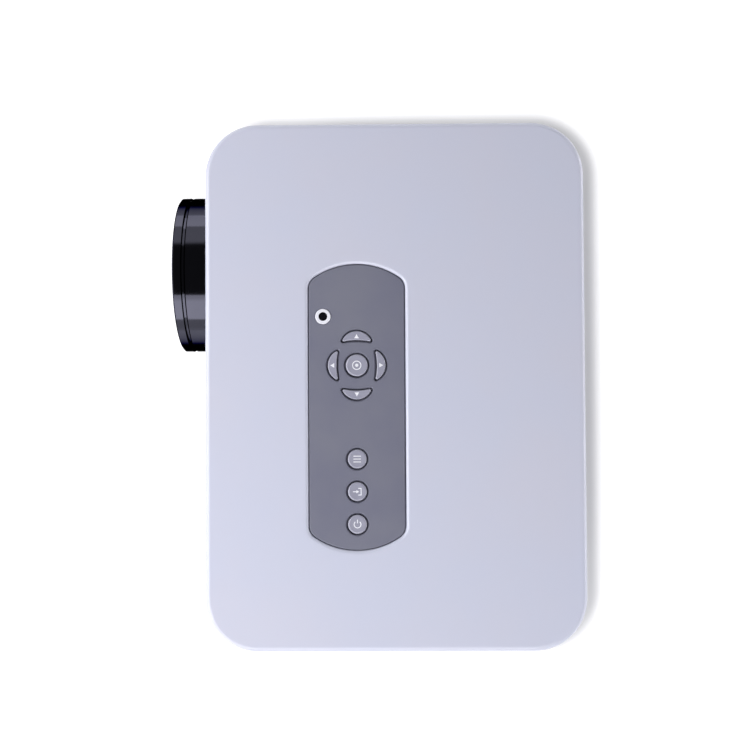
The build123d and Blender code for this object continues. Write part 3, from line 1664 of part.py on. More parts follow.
with BuildPart() as traverse_plate:
    with BuildSketch(flat_plane(inner_low)):
        with Locations((traverse_middle, case_y)):
            RectangleRounded(traverse_length, traverse_width, traverse_corner)
        with Locations((motor_x + motor_length / 2, case_y + screw_offset)):
            Rectangle(motor_length + motor_room, 2 * motor_radius + motor_room, mode=Mode.SUBTRACT)
    extrude(amount=sheet)
    # Clips that hold the ends of the two rods and of the lead screw.
    for x in clip_places:
        with BuildSketch(side_plane(x)):
            for y in (-rod_spacing, rod_spacing, screw_offset):
                with Locations((case_y + y, (plate_sheet_top + clip_top) / 2)):
                    Rectangle(4 * rod_radius, clip_top - plate_sheet_top)
        extrude(amount=clip_width)
        with BuildSketch(side_plane(x)):
            for y in (-rod_spacing, rod_spacing):
                with Locations((case_y + y, rod_z)):
                    Circle(rod_radius + press_gap)
            with Locations((case_y + screw_offset, rod_z)):
                Circle(lead_radius + shaft_gap)
        extrude(amount=clip_width, mode=Mode.SUBTRACT)
save(traverse_plate, "traverse_plate")

spindle_top = deck_bottom - 2 * panel_gap
spindle_axis_bore = fan_shaft + shaft_gap
with BuildPart() as spindle_motor:
    with BuildSketch(flat_plane(plate_sheet_top)):
        with Locations((disc_x, case_y)):
            Circle(spindle_radius)
            Circle(spindle_axis_bore, mode=Mode.SUBTRACT)
    extrude(amount=spindle_top - plate_sheet_top)
save(spindle_motor, "spindle_motor")

with BuildPart() as disc_hub:
    with BuildSketch(upright_plane(disc_x, case_y)):
        closed_profile(
            [
                (0, plate_sheet_top + panel_gap),
                (fan_shaft, plate_sheet_top + panel_gap),
                (fan_shaft, spindle_top + panel_gap),
                (hub_cup_radius, spindle_top + panel_gap),
                (hub_cup_radius, disc_floor),
                (hub_flange_radius, disc_floor),
                (hub_flange_radius, disc_floor + hub_flange),
                (hub_pin_radius, disc_floor + hub_flange),
                (hub_pin_radius, disc_floor + hub_flange + hub_pin_height),
                (hub_pin_radius - hub_chamfer, disc_floor + hub_flange + hub_pin_height + hub_nose),
                (0, disc_floor + hub_flange + hub_pin_height + hub_nose),
            ]
        )
    revolve(axis=Axis((disc_x, case_y, 0), (0, 0, 1)))
save(disc_hub, "disc_hub")

sled_bottom = plate_sheet_top + slide_gap
with BuildPart() as pickup_sled:
    with BuildSketch(flat_plane(sled_bottom)):
        with Locations((sled_x + (sled_front - sled_back) / 2, case_y)):
            Rectangle(sled_front + sled_back, sled_width)
    extrude(amount=disc_floor - slide_gap - sled_bottom)
    # Ears on the two rods, and the arm that engages the lead screw.
    with BuildSketch(flat_plane(sled_bottom)):
        for side in (-1, 1):
            with Locations((sled_x, case_y + side * (sled_width / 2 + rod_spacing + 2 * rod_radius) / 2)):
                Rectangle(sled_ear, rod_spacing + 2 * rod_radius - sled_width / 2)
    extrude(amount=rod_z + rod_radius + slide_gap - sled_bottom)
    arm_start = rod_spacing + rod_radius
    arm_end = screw_offset - lead_radius - slide_gap
    with BuildSketch(flat_plane(rod_z - sheet)):
        with Locations((sled_x, case_y + (arm_start + arm_end) / 2)):
            Rectangle(sled_ear / 2, arm_end - arm_start)
    extrude(amount=2 * sheet)
    with BuildSketch(side_plane(sled_x - sled_ear)):
        with Locations((case_y - rod_spacing, rod_z), (case_y + rod_spacing, rod_z)):
            Circle(rod_radius + shaft_gap)
    extrude(amount=2 * sled_ear, mode=Mode.SUBTRACT)
    # Lens of the pickup.
    with BuildSketch(flat_plane(disc_floor - slide_gap)):
        with Locations((sled_x, case_y)):
            Circle(objective_radius)
    extrude(amount=sheet)
    fillet(pickup_sled.faces().sort_by(Axis.Z)[-1].edges(), key_edge)
save(pickup_sled, "pickup_sled")

with BuildPart() as guide_rods:
    with BuildSketch(side_plane(traverse_start)):
        with Locations((case_y - rod_spacing, rod_z), (case_y + rod_spacing, rod_z)):
            Circle(rod_radius)
    extrude(amount=clip_places[1] + clip_width - traverse_start)
save(guide_rods, "guide_rods")

with BuildPart() as lead_screw:
    with BuildSketch(side_plane(traverse_start)):
        with Locations((case_y + screw_offset, rod_z)):
            Circle(lead_radius)
    extrude(amount=motor_x - panel_gap - traverse_start)
    with BuildSketch(side_plane(motor_x - panel_gap)):
        with Locations((case_y + screw_offset, rod_z)):
            Circle(lead_radius / 2)
    extrude(amount=motor_socket + panel_gap)
save(lead_screw, "lead_screw")

with BuildPart() as sled_motor:
    with BuildSketch(side_plane(motor_x)):
        with Locations((case_y + screw_offset, rod_z)):
            Circle(motor_radius)
    extrude(amount=motor_length)
    with BuildSketch(side_plane(motor_x)):
        with Locations((case_y + screw_offset, rod_z)):
            Circle(lead_radius / 2 + shaft_gap)
    extrude(amount=motor_socket + 2 * panel_gap, mode=Mode.SUBTRACT)
save(sled_motor, "sled_motor")
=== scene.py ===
"""A compact home projector with a slim disc drive, dressed for a straight-down studio view.

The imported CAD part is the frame, and this script gives its nodes their finishes. It adds what is
too fine for the solids: the printed key symbols, the contacts and the video face in the sockets,
the speaker cloth and the drive's lamp. Then it sets floor, lamps and camera. Lengths are metres in
the part's own frame, except where a name ends in _mm, _nm or _px.
"""

from __future__ import annotations

import logging
import math
from dataclasses import dataclass, field
from enum import Enum
from typing import Any

import bmesh
import bpy
from mathutils import Matrix, Vector


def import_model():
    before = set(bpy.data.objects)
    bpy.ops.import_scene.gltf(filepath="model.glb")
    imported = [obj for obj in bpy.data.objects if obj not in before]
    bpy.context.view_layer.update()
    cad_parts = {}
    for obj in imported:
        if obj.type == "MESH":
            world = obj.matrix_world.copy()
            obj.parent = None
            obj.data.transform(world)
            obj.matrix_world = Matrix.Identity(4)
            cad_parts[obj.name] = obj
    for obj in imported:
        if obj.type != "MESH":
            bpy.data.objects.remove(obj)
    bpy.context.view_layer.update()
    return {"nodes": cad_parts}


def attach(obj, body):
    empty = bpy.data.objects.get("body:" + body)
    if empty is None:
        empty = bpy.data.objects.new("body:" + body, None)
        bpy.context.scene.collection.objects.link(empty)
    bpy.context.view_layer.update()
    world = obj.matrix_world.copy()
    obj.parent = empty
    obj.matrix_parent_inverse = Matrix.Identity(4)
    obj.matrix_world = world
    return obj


LOG = logging.getLogger("projector")
MM = 0.001

Mesh = bmesh.types.BMesh
Socket = bpy.types.NodeSocket
Tree = bpy.types.NodeTree
Triple = tuple[float, float, float]


# --------------------------------------------------------------------------------------------
# Finishes
# --------------------------------------------------------------------------------------------

# The sRGB curve: a straight foot up to the knee, and a power above it.
SRGB_KNEE = 0.04045
SRGB_FOOT = 12.92
SRGB_OFFSET = 0.055
SRGB_POWER = 2.4

# The colour sockets of Blender's Mix node.
MIX_FACTOR, MIX_FIRST, MIX_SECOND = 0, 6, 7
MIX_RESULT = 2

# The large soft patches in every surface, and the parts of their range that change gloss and tint.
PATCH_OCTAVES = 3.0
PATCH_ROUGHNESS = 0.55
GLOSS_RANGE = (0.3, 0.7)
TINT_RANGE = (0.35, 0.65)
LACQUER_ROUGHNESS = 0.04
BRUSH_OCTAVES = 4.0

# Copper tracks: how unevenly they run, and where the step from track to gap lies.
TRACK_DISORDER = 0.55
TRACK_STEP = (0.36, 0.40)


class Grain(Enum):
    """Surface patterns that a finish can carry."""

    PEEL = "slight waviness of a polished mould"
    SPARK = "fine spark-eroded mould texture"
    BRUSHED = "lines along one direction"
    SPANGLE = "crystals of a zinc coat"
    TRACES = "copper tracks under a solder mask"
    WOVEN = "crossed threads"
    RINGS = "turned rings round the lens axis"
    CAST = "soft lumps of rubber or paper"


# Octaves of the plain noises: none for a polished mould's long waves, most for lumpy surfaces.
GRAIN_OCTAVES = {Grain.PEEL: 0.0, Grain.SPARK: 2.0, Grain.CAST: 4.0}


def linear(code: str) -> tuple[float, float, float, float]:
    """Turns an sRGB hex code into a linear colour.

    Args:
        code: Six hex digits, such as "c8c9dc".

    Returns:
        Linear red, green and blue, and an alpha of 1.
    """
    values = [int(code[i : i + 2], 16) / 255 for i in (0, 2, 4)]
    red, green, blue = (
        v / SRGB_FOOT if v <= SRGB_KNEE else ((v + SRGB_OFFSET) / (1 + SRGB_OFFSET)) ** SRGB_POWER
        for v in values
    )
    return (red, green, blue, 1.0)


def add(
    tree: Tree,
    kind: str,
    settings: dict[str | int, Any] | None = None,
    links: dict[str | int, Socket] | None = None,
) -> bpy.types.Node:
    """Adds a node with its settings and links.

    Args:
        tree: The node tree that gets the node.
        kind: The node's Blender type name.
        settings: Attribute names, input names or input numbers with their values.
        links: Input names or numbers with the sockets that feed them.

    Returns:
        The new node.
    """
    node = tree.nodes.new(kind)
    for key, value in (settings or {}).items():
        if isinstance(key, str) and key not in node.inputs and hasattr(node, key):
            setattr(node, key, value)
        else:
            node.inputs[key].default_value = value
    for key, socket in (links or {}).items():
        tree.links.new(socket, node.inputs[key])
    return node


@dataclass(frozen=True)
class Finish:
    """One real material: its colours, how rough it is, and its fine pattern.

    Attributes:
        name: What the real material is; the Blender material gets this name.
        colour: Main colour, an sRGB hex code.
        second: The colour that it drifts to.
        rough: Middle roughness.
        grain: Fine pattern.
        grain_mm: Size of one feature of the pattern.
        depth_mm: Height of the pattern.
        rough_spread: How far the roughness drifts from patch to patch.
        patch_mm: Size of the large soft patches.
        metallic: 1 for a metal.
        ior: Refraction of what isn't a metal.
        coat: Strength of a clear lacquer.
        glass: Share of the light that goes through.
        film_nm: Thickness of an optical coat.
        edge: Brightness of a metal's outline.
        along: Squeeze of brushed lines along each axis; a low number makes long lines.
    """

    name: str
    colour: str
    second: str
    rough: float
    grain: Grain
    grain_mm: float
    depth_mm: float
    rough_spread: float = 0.06
    patch_mm: float = 22.0
    metallic: float = 0.0
    ior: float = 1.5
    coat: float = 0.0
    glass: float = 0.0
    film_nm: float = 0.0
    edge: float = 1.0
    along: Triple = (1.0, 1.0, 1.0)

    def build(self) -> bpy.types.Material:
        """Makes the node material.

        Returns:
            The material, ready for a material slot.
        """
        material = bpy.data.materials.new(self.name)
        material.use_nodes = True
        tree = material.node_tree
        tree.nodes.clear()
        place = add(tree, "ShaderNodeTexCoord").outputs["Object"]
        patches = add(
            tree,
            "ShaderNodeTexNoise",
            {
                "Scale": 1 / (self.patch_mm * MM),
                "Detail": PATCH_OCTAVES,
                "Roughness": PATCH_ROUGHNESS,
            },
            {"Vector": place},
        ).outputs["Fac"]
        height = self._height(tree, place)
        tint = add(
            tree,
            "ShaderNodeMix",
            {
                "data_type": "RGBA",
                MIX_FIRST: linear(self.colour),
                MIX_SECOND: linear(self.second),
            },
            {MIX_FACTOR: self._mask(tree, patches, height)},
        )
        rough = add(
            tree,
            "ShaderNodeMapRange",
            {
                "From Min": GLOSS_RANGE[0],
                "From Max": GLOSS_RANGE[1],
                "To Min": max(self.rough - self.rough_spread / 2, 0.0),
                "To Max": self.rough + self.rough_spread / 2,
            },
            {"Value": patches},
        )
        bump = add(
            tree,
            "ShaderNodeBump",
            {"Strength": 1.0, "Distance": self.depth_mm * MM},
            {"Height": height},
        )
        settings: dict[str | int, Any] = {
            "Metallic": self.metallic,
            "Coat Weight": self.coat,
            "Coat Roughness": LACQUER_ROUGHNESS,
            "Transmission Weight": self.glass,
            "Thin Film Thickness": self.film_nm,
            "Specular Tint": (self.edge, self.edge, self.edge, 1.0),
        }
        if self.metallic == 0.0:
            settings["IOR"] = self.ior
        shader = add(
            tree,
            "ShaderNodeBsdfPrincipled",
            settings,
            {
                "Base Color": tint.outputs[MIX_RESULT],
                "Roughness": rough.outputs["Result"],
                "Normal": bump.outputs["Normal"],
            },
        )
        add(tree, "ShaderNodeOutputMaterial", links={"Surface": shader.outputs["BSDF"]})
        return material

    def _mask(self, tree: Tree, patches: Socket, height: Socket) -> Socket:
        """Picks what mixes the two colours: the pattern where it shows as colour, else the patches.

        Args:
            tree: The material's node tree.
            patches: The large soft noise.
            height: The fine pattern.

        Returns:
            The socket with the mixing value.
        """
        if self.grain in (Grain.TRACES, Grain.SPANGLE, Grain.WOVEN):
            return height
        return add(
            tree,
            "ShaderNodeMapRange",
            {"From Min": TINT_RANGE[0], "From Max": TINT_RANGE[1]},
            {"Value": patches},
        ).outputs["Result"]

    def _height(self, tree: Tree, place: Socket) -> Socket:
        """Makes the fine pattern of the finish.

        Args:
            tree: The material's node tree.
            place: Object coordinates.

        Returns:
            The socket with the pattern's height.
        """
        scale = 1 / (self.grain_mm * MM)
        special = {
            Grain.BRUSHED: self._brushed,
            Grain.SPANGLE: self._spangle,
            Grain.TRACES: self._traces,
            Grain.WOVEN: self._woven,
            Grain.RINGS: self._rings,
        }
        if self.grain in special:
            return special[self.grain](tree, place, scale)
        return add(
            tree,
            "ShaderNodeTexNoise",
            {"Scale": scale, "Detail": GRAIN_OCTAVES[self.grain]},
            {"Vector": place},
        ).outputs["Fac"]

    def _brushed(self, tree: Tree, place: Socket, scale: float) -> Socket:
        """Draws noise into lines, as grinding, drawing or extruding leaves them.

        Args:
            tree: The material's node tree.
            place: Object coordinates.
            scale: Lines per metre.

        Returns:
            The socket with the height.
        """
        drawn = add(tree, "ShaderNodeMapping", {"Scale": self.along}, {"Vector": place})
        return add(
            tree,
            "ShaderNodeTexNoise",
            {"Scale": scale, "Detail": BRUSH_OCTAVES},
            {"Vector": drawn.outputs["Vector"]},
        ).outputs["Fac"]

    @staticmethod
    def _spangle(tree: Tree, place: Socket, scale: float) -> Socket:
        """Makes flat flakes, each with a level of its own.

        Args:
            tree: The material's node tree.
            place: Object coordinates.
            scale: Flakes per metre.

        Returns:
            The socket with the level.
        """
        cells = add(
            tree, "ShaderNodeTexVoronoi", {"Scale": scale, "feature": "F1"}, {"Vector": place}
        )
        return add(
            tree, "ShaderNodeSeparateColor", links={"Color": cells.outputs["Color"]}
        ).outputs["Red"]

    @staticmethod
    def _traces(tree: Tree, place: Socket, scale: float) -> Socket:
        """Makes tracks that run square to each other, as a low step.

        Args:
            tree: The material's node tree.
            place: Object coordinates.
            scale: Tracks per metre.

        Returns:
            The socket that is 1 on a track and 0 beside it.
        """
        cells = add(
            tree,
            "ShaderNodeTexVoronoi",
            {
                "Scale": scale,
                "distance": "CHEBYCHEV",
                "feature": "F1",
                "Randomness": TRACK_DISORDER,
            },
            {"Vector": place},
        )
        return add(
            tree,
            "ShaderNodeMapRange",
            {"From Min": TRACK_STEP[0], "From Max": TRACK_STEP[1]},
            {"Value": cells.outputs["Distance"]},
        ).outputs["Result"]

    @staticmethod
    def _woven(tree: Tree, place: Socket, scale: float) -> Socket:
        """Makes threads that cross at the thread spacing.

        Args:
            tree: The material's node tree.
            place: Object coordinates.
            scale: Threads per metre.

        Returns:
            The socket with the height.
        """
        across, up = (
            add(
                tree,
                "ShaderNodeTexWave",
                {"Scale": scale / 2, "bands_direction": way, "wave_profile": "SIN"},
                {"Vector": place},
            ).outputs["Fac"]
            for way in ("X", "Z")
        )
        return add(
            tree, "ShaderNodeMath", {"operation": "MULTIPLY"}, {0: across, 1: up}
        ).outputs["Value"]

    @staticmethod
    def _rings(tree: Tree, place: Socket, scale: float) -> Socket:
        """Makes ridges one behind the other along the lens axis.

        Args:
            tree: The material's node tree.
            place: Object coordinates.
            scale: Ridges per metre.

        Returns:
            The socket with the height.
        """
        return add(
            tree,
            "ShaderNodeTexWave",
            {"Scale": scale / 2, "bands_direction": "Y", "wave_profile": "TRI"},
            {"Vector": place},
        ).outputs["Fac"]


# Spark texture and grinding lines are really about 0.1 mm apart. Every finish that has them draws
# them 3 to 6 times as coarse, so that they show.

# ABS moulded in a polished tool: a lilac-white skin with a soft mirror gloss and faint clouding.
GLOSS_ABS = Finish(
    "lilac_white_abs_polished", "cbcee1", "cdcedf", 0.24, Grain.PEEL, 9.0, 0.012, patch_mm=60.0
)
# ABS from a lightly etched tool: a satin grey that spreads highlights.
SATIN_ABS = Finish(
    "grey_abs_satin", "757688", "7a7b8a", 0.38, Grain.SPARK, 0.5, 0.006, patch_mm=30.0
)
# ABS keys, pad-printed and lacquered: brighter than the plate, with sharp glints on their edges.
KEY_ABS = Finish(
    "grey_abs_lacquered", "9a9aac", "a1a1b2", 0.2, Grain.PEEL, 3.0, 0.006, patch_mm=6.0, coat=0.4
)
# White ABS, polished: small parts that look clean, with a soft glint on their edges.
WHITE_ABS = Finish(
    "white_abs_polished", "f0f0fa", "e9e9f4", 0.2, Grain.PEEL, 3.0, 0.004, patch_mm=8.0
)
# Printing ink, opaque and slightly glossy: clear white lines that don't glint.
WHITE_INK = Finish(
    "white_pad_printing_ink", "f4f4fb", "ededf5", 0.35, Grain.SPARK, 0.3, 0.002, patch_mm=2.0
)
# Acrylic that passes infrared: nearly black with a wet gloss.
SMOKED_ACRYLIC = Finish(
    "smoked_acrylic", "0a0a10", "101018", 0.06, Grain.PEEL, 4.0, 0.002, ior=1.49
)
# Aluminium, turned, polished and anodised black: it mirrors the lamps as bands. Its edge tint is
# set to black: painted shade, a dark outline where the ring would show a bright grazing reflection.
BLACK_ANODISED = Finish(
    "black_anodised_aluminium", "42424c", "45454f", 0.1, Grain.PEEL, 12.0, 0.008,
    # edge=0.0 paints shade: the outline stays dark instead of reflecting the bright surroundings.
    rough_spread=0.03, metallic=1.0, edge=0.0,
)
# Glass-filled nylon: matt black with a fine dry texture.
BLACK_NYLON = Finish("black_nylon_textured", "17171a", "1d1d20", 0.55, Grain.SPARK, 0.4, 0.02)
# The same nylon with turned light traps: rings that catch a thin edge of light each.
RIBBED_NYLON = Finish("black_nylon_ribbed", "111114", "18181b", 0.5, Grain.RINGS, 0.9, 0.12)
# ABS from an eroded tool: a dull charcoal round the bright sockets.
PORT_ABS = Finish("charcoal_abs_textured", "303036", "36363c", 0.5, Grain.SPARK, 0.45, 0.015)
# Crown glass with a single-layer coat that leaves a violet reflection.
COATED_GLASS = Finish(
    "coated_crown_glass", "eef2fb", "eef0fa", 0.0, Grain.PEEL, 40.0, 0.0,
    rough_spread=0.0, glass=1.0, ior=1.52, film_nm=380.0,
)
# Display glass with its polariser: dark and smooth, with a plain mirror gloss.
DISPLAY_GLASS = Finish(
    "display_glass", "1b1d24", "20222a", 0.08, Grain.PEEL, 20.0, 0.002, ior=1.52
)
# Glass-fibre board under green solder mask, with the copper tracks showing through.
SOLDER_MASK = Finish(
    "green_solder_mask", "0f4a2c", "1c6a40", 0.3, Grain.TRACES, 2.2, 0.03, coat=0.3
)
# Aluminium board under white solder mask: pale and half dull, with broad tracks.
LED_BOARD = Finish("white_solder_mask", "e6e3d2", "efece0", 0.35, Grain.TRACES, 5.0, 0.03)
# Hot-dip galvanised sheet: flakes of zinc that shine unevenly.
ZINC_SHEET = Finish(
    "galvanised_sheet_steel", "9fa1a6", "b9bbc0", 0.34, Grain.SPANGLE, 5.0, 0.004,
    rough_spread=0.14, metallic=1.0,
)
# Ground steel rods and screws: a bright line of light, broken by the lines of the stone.
GROUND_STEEL = Finish(
    "ground_steel", "b4b5b9", "c3c4c8", 0.22, Grain.BRUSHED, 0.6, 0.004,
    rough_spread=0.08, metallic=1.0, along=(0.05, 1.0, 1.0),
)
# Drawn steel shells plated with nickel: warm grey, with the lines of the drawing die.
NICKEL_SHELL = Finish(
    "nickel_plated_steel", "b8b6ae", "c6c4bd", 0.24, Grain.BRUSHED, 0.5, 0.003,
    rough_spread=0.08, metallic=1.0, along=(1.0, 0.08, 1.0),
)
# Stamped contacts with a flash of gold: warm yellow glints in a dark socket.
GOLD_CONTACT = Finish(
    "gold_flash_contact", "cfa550", "d9b467", 0.22, Grain.BRUSHED, 0.3, 0.002,
    metallic=1.0, along=(1.0, 0.1, 1.0),
)
# Extruded 6063 aluminium: die lines along the fins.
EXTRUDED_ALU = Finish(
    "extruded_aluminium", "b9bbbf", "c7c9cd", 0.32, Grain.BRUSHED, 0.5, 0.01,
    rough_spread=0.1, metallic=1.0, along=(1.0, 1.0, 0.04),
)
# Turned brass: yellow, with the tool's fine rings round the thread.
TURNED_BRASS = Finish(
    "turned_brass", "b98f4a", "c79f5b", 0.28, Grain.BRUSHED, 0.4, 0.008,
    rough_spread=0.08, metallic=1.0, along=(1.0, 1.0, 6.0),
)
# Silicone rubber: dull, slightly lumpy and dusty.
SOFT_RUBBER = Finish("black_silicone_rubber", "1c1c1e", "262628", 0.75, Grain.CAST, 0.8, 0.03)
# Pressed pulp: fully matt, with the felt of its fibres.
PRESSED_PAPER = Finish("pressed_paper_pulp", "1d1c1c", "272626", 0.85, Grain.CAST, 0.9, 0.08)
# Acetal, moulded: a waxy mid grey.
GREY_ACETAL = Finish("grey_acetal", "6f7074", "77787c", 0.4, Grain.SPARK, 0.6, 0.006)
# Polyester grille cloth, drawn at twice its real thread spacing so that it shows.
GRILLE_CLOTH = Finish("black_polyester_cloth", "08080a", "3a3a40", 0.8, Grain.WOVEN, 0.55, 0.15)
# PBT, moulded: the flat blue that marks a video socket.
VGA_BLUE = Finish("blue_pbt", "1f3f8f", "234699", 0.45, Grain.SPARK, 0.5, 0.004)
# Clear green acrylic light pipe: a small gloss spot of colour in the white front.
LIGHT_PIPE = Finish(
    "green_light_pipe", "2f8f5a", "37a067", 0.2, Grain.PEEL, 2.0, 0.002, ior=1.49
)

NODE_FINISHES: dict[Finish, tuple[str, ...]] = {
    GLOSS_ABS: ("top_cover", "bottom_case", "tray_bezel"),
    SATIN_ABS: ("keypad_panel",),
    KEY_ABS: (
        "up_key",
        "down_key",
        "left_key",
        "right_key",
        "ok_key",
        "menu_key",
        "source_key",
        "power_key",
    ),
    WHITE_ABS: ("ir_window_ring", "eject_button"),
    SMOKED_ACRYLIC: ("ir_window",),
    BLACK_ANODISED: ("focus_ring", "lens_collar"),
    RIBBED_NYLON: ("lens_barrel", "lens_retaining_ring"),
    BLACK_NYLON: (
        "tact_switches",
        "optical_housing",
        "optical_lid",
        "exhaust_fan_frame",
        "exhaust_fan_rotor",
        "intake_fan_frame",
        "intake_fan_rotor",
        "audio_jacks",
        "ac_inlet",
        "disc_tray",
        "disc_hub",
    ),
    PORT_ABS: ("rear_panel",),
    COATED_GLASS: ("front_lens", "rear_lens", "fresnel_lenses", "condenser_lens"),
    DISPLAY_GLASS: ("lcd_panel",),
    SOLDER_MASK: ("keypad_board", "main_board", "power_board"),
    LED_BOARD: ("led_module",),
    ZINC_SHEET: (
        "drive_chassis",
        "drive_cover",
        "slide_rails",
        "traverse_plate",
        "speaker_frames",
    ),
    GROUND_STEEL: ("housing_screws", "guide_rods", "lead_screw", "sled_motor", "spindle_motor"),
    NICKEL_SHELL: ("usb_socket", "hdmi_socket", "vga_socket"),
    EXTRUDED_ALU: ("heat_sink",),
    TURNED_BRASS: ("tripod_insert",),
    SOFT_RUBBER: ("rubber_feet", "foot_pad"),
    PRESSED_PAPER: ("speaker_cones",),
    GREY_ACETAL: ("pickup_sled", "foot_screw"),
}


@dataclass
class FinishBook:
    """Builds each finish once and hands it out."""

    made: dict[str, bpy.types.Material] = field(default_factory=dict)

    def get(self, finish: Finish) -> bpy.types.Material:
        """Gives the material of a finish.

        Args:
            finish: The finish that is wanted.

        Returns:
            Its material, built the first time it is asked for.
        """
        if finish.name not in self.made:
            self.made[finish.name] = finish.build()
        return self.made[finish.name]

    def dress(self, nodes: dict[str, bpy.types.Object]) -> None:
        """Puts the finishes on the CAD nodes.

        Args:
            nodes: The frame's nodes by name.
        """
        for finish, names in NODE_FINISHES.items():
            for name in names:
                for material_slot in nodes[name].material_slots:
                    material_slot.material = self.get(finish)
                LOG.info("node %s in %s", name, finish.name)


# --------------------------------------------------------------------------------------------
# Pieces
# --------------------------------------------------------------------------------------------

# Turns of an upright axis: to the rear along +Y, and to the tray's side along +X.
TO_REAR = Matrix.Rotation(math.radians(-90), 4, "X")
TO_TRAY_SIDE = Matrix.Rotation(math.radians(90), 4, "Y")
# Blender starts a cone's corners on +Y; a quarter turn puts the first one on +X.
CORNER_TO_X = Matrix.Rotation(math.radians(-90), 4, "Z")
# Corners nearer than this, in metres, are one.
WELD = 0.5e-6
TRIANGLE = 3
ROUND_SIDES = 48
FULL_TURN = 360.0
# An arc has a step for every so many degrees, and never fewer than the least number.
ARC_STEP = 7.5
LEAST_STEPS = 4


@dataclass
class Bench:
    """Turns meshes into pieces that ride on a body."""

    book: FinishBook

    def put(self, mesh: Mesh, name: str, body: str, slot: str, finish: Finish) -> bpy.types.Object:
        """Makes a piece of a mesh and lets it ride.

        Args:
            mesh: The shape, already in its place. It is freed.
            name: The piece's name.
            body: The body that it moves with.
            slot: The record's material slot that it belongs to; not used.
            finish: Its finish.

        Returns:
            The new piece.
        """
        bmesh.ops.remove_doubles(mesh, verts=mesh.verts, dist=WELD)
        bmesh.ops.recalc_face_normals(mesh, faces=mesh.faces)
        data = bpy.data.meshes.new(name)
        mesh.to_mesh(data)
        mesh.free()
        piece = bpy.data.objects.new(name, data)
        bpy.context.scene.collection.objects.link(piece)
        data.materials.append(self.book.get(finish))
        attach(piece, body)
        LOG.info("piece %s rides on %s", name, body)
        return piece


def turned(x: float, y: float, z: float, angle: float = 0.0) -> Matrix:
    """Gives a place with a turn about the upright axis.

    Args:
        x: Place along X.
        y: Place along Y.
        z: Height.
        angle: Turn in degrees.

    Returns:
        The matrix.
    """
    return Matrix.Translation((x, y, z)) @ Matrix.Rotation(math.radians(angle), 4, "Z")


def block(mesh: Mesh, place: Matrix, size: Triple) -> None:
    """Adds a box that stands on its place.

    Args:
        mesh: The mesh that gets the box.
        place: Where the middle of its underside goes.
        size: Length, width and height.
    """
    lift = Matrix.Translation((0, 0, size[2] / 2)) @ Matrix.Diagonal((*size, 1))
    bmesh.ops.create_cube(mesh, size=1.0, matrix=place @ lift)


def disc(
    mesh: Mesh, place: Matrix, radius: float, height: float, sides: int = ROUND_SIDES
) -> None:
    """Adds a flat disc or a regular prism that stands on its place.

    Args:
        mesh: The mesh that gets the disc.
        place: Where the middle of its underside goes.
        radius: Radius to the corners.
        height: Thickness.
        sides: Number of sides; 3 makes a triangle with a corner along X.
    """
    bmesh.ops.create_cone(
        mesh,
        cap_ends=True,
        segments=sides,
        radius1=radius,
        radius2=radius,
        depth=height,
        matrix=place @ Matrix.Translation((0, 0, height / 2)) @ CORNER_TO_X,
    )


def band(
    mesh: Mesh,
    place: Matrix,
    radius: float,
    width: float,
    height: float,
    angle: float = FULL_TURN,
    start: float = 0.0,
) -> None:
    """Adds a flat ring or an arc of one, swept round the upright axis of its place.

    Args:
        mesh: The mesh that gets the ring.
        place: The ring's middle.
        radius: Radius of the ring's centre line.
        width: Width of the ring.
        height: Thickness.
        angle: Length of the arc in degrees.
        start: Where the arc begins, in degrees from X.
    """
    before = set(mesh.verts)
    upright = Matrix.Rotation(math.radians(90), 4, "X")
    section = Matrix.Diagonal((width / 2, 1, height / 2, 1)) @ upright
    corners = bmesh.ops.create_grid(
        mesh, x_segments=1, y_segments=1, size=1.0, matrix=section
    )["verts"]
    bmesh.ops.translate(mesh, verts=corners, vec=(radius, 0, height / 2))
    bmesh.ops.rotate(
        mesh,
        verts=corners,
        cent=(0, 0, 0),
        matrix=Matrix.Rotation(math.radians(start), 3, "Z"),
    )
    full = angle >= FULL_TURN
    faces = list({face for vert in corners for face in vert.link_faces})
    bmesh.ops.spin(
        mesh,
        geom=[*faces, *faces[0].edges, *corners],
        cent=(0, 0, 0),
        axis=(0, 0, 1),
        angle=math.radians(angle),
        steps=max(int(angle / ARC_STEP), LEAST_STEPS),
        use_merge=full,
    )
    if full:
        inner = [face for face in faces if face.is_valid]
        bmesh.ops.delete(mesh, geom=inner, context="FACES_ONLY")
    fresh = [vert for vert in mesh.verts if vert not in before]
    bmesh.ops.transform(mesh, verts=fresh, matrix=place)


@dataclass(frozen=True)
class Stroke:
    """One straight line of a symbol: its middle from the key's middle, and its two sides."""

    x: float
    y: float
    along_x: float
    along_y: float


LINE = 0.42 * MM
MENU_BARS = tuple(Stroke(x * MM, 0.0, LINE, 3.4 * MM) for x in (-1.3, 0.0, 1.3))
SOURCE_FRAME = (
    Stroke(0.0, 1.7 * MM, 3.4 * MM, LINE),
    Stroke(-1.5 * MM, 0.95 * MM, LINE, 1.1 * MM),
    Stroke(1.5 * MM, 0.95 * MM, LINE, 1.1 * MM),
    Stroke(0.0, -1.2 * MM, LINE, 1.6 * MM),
)
POWER_BAR = (Stroke(-1.35 * MM, 0.0, 1.7 * MM, LINE),)


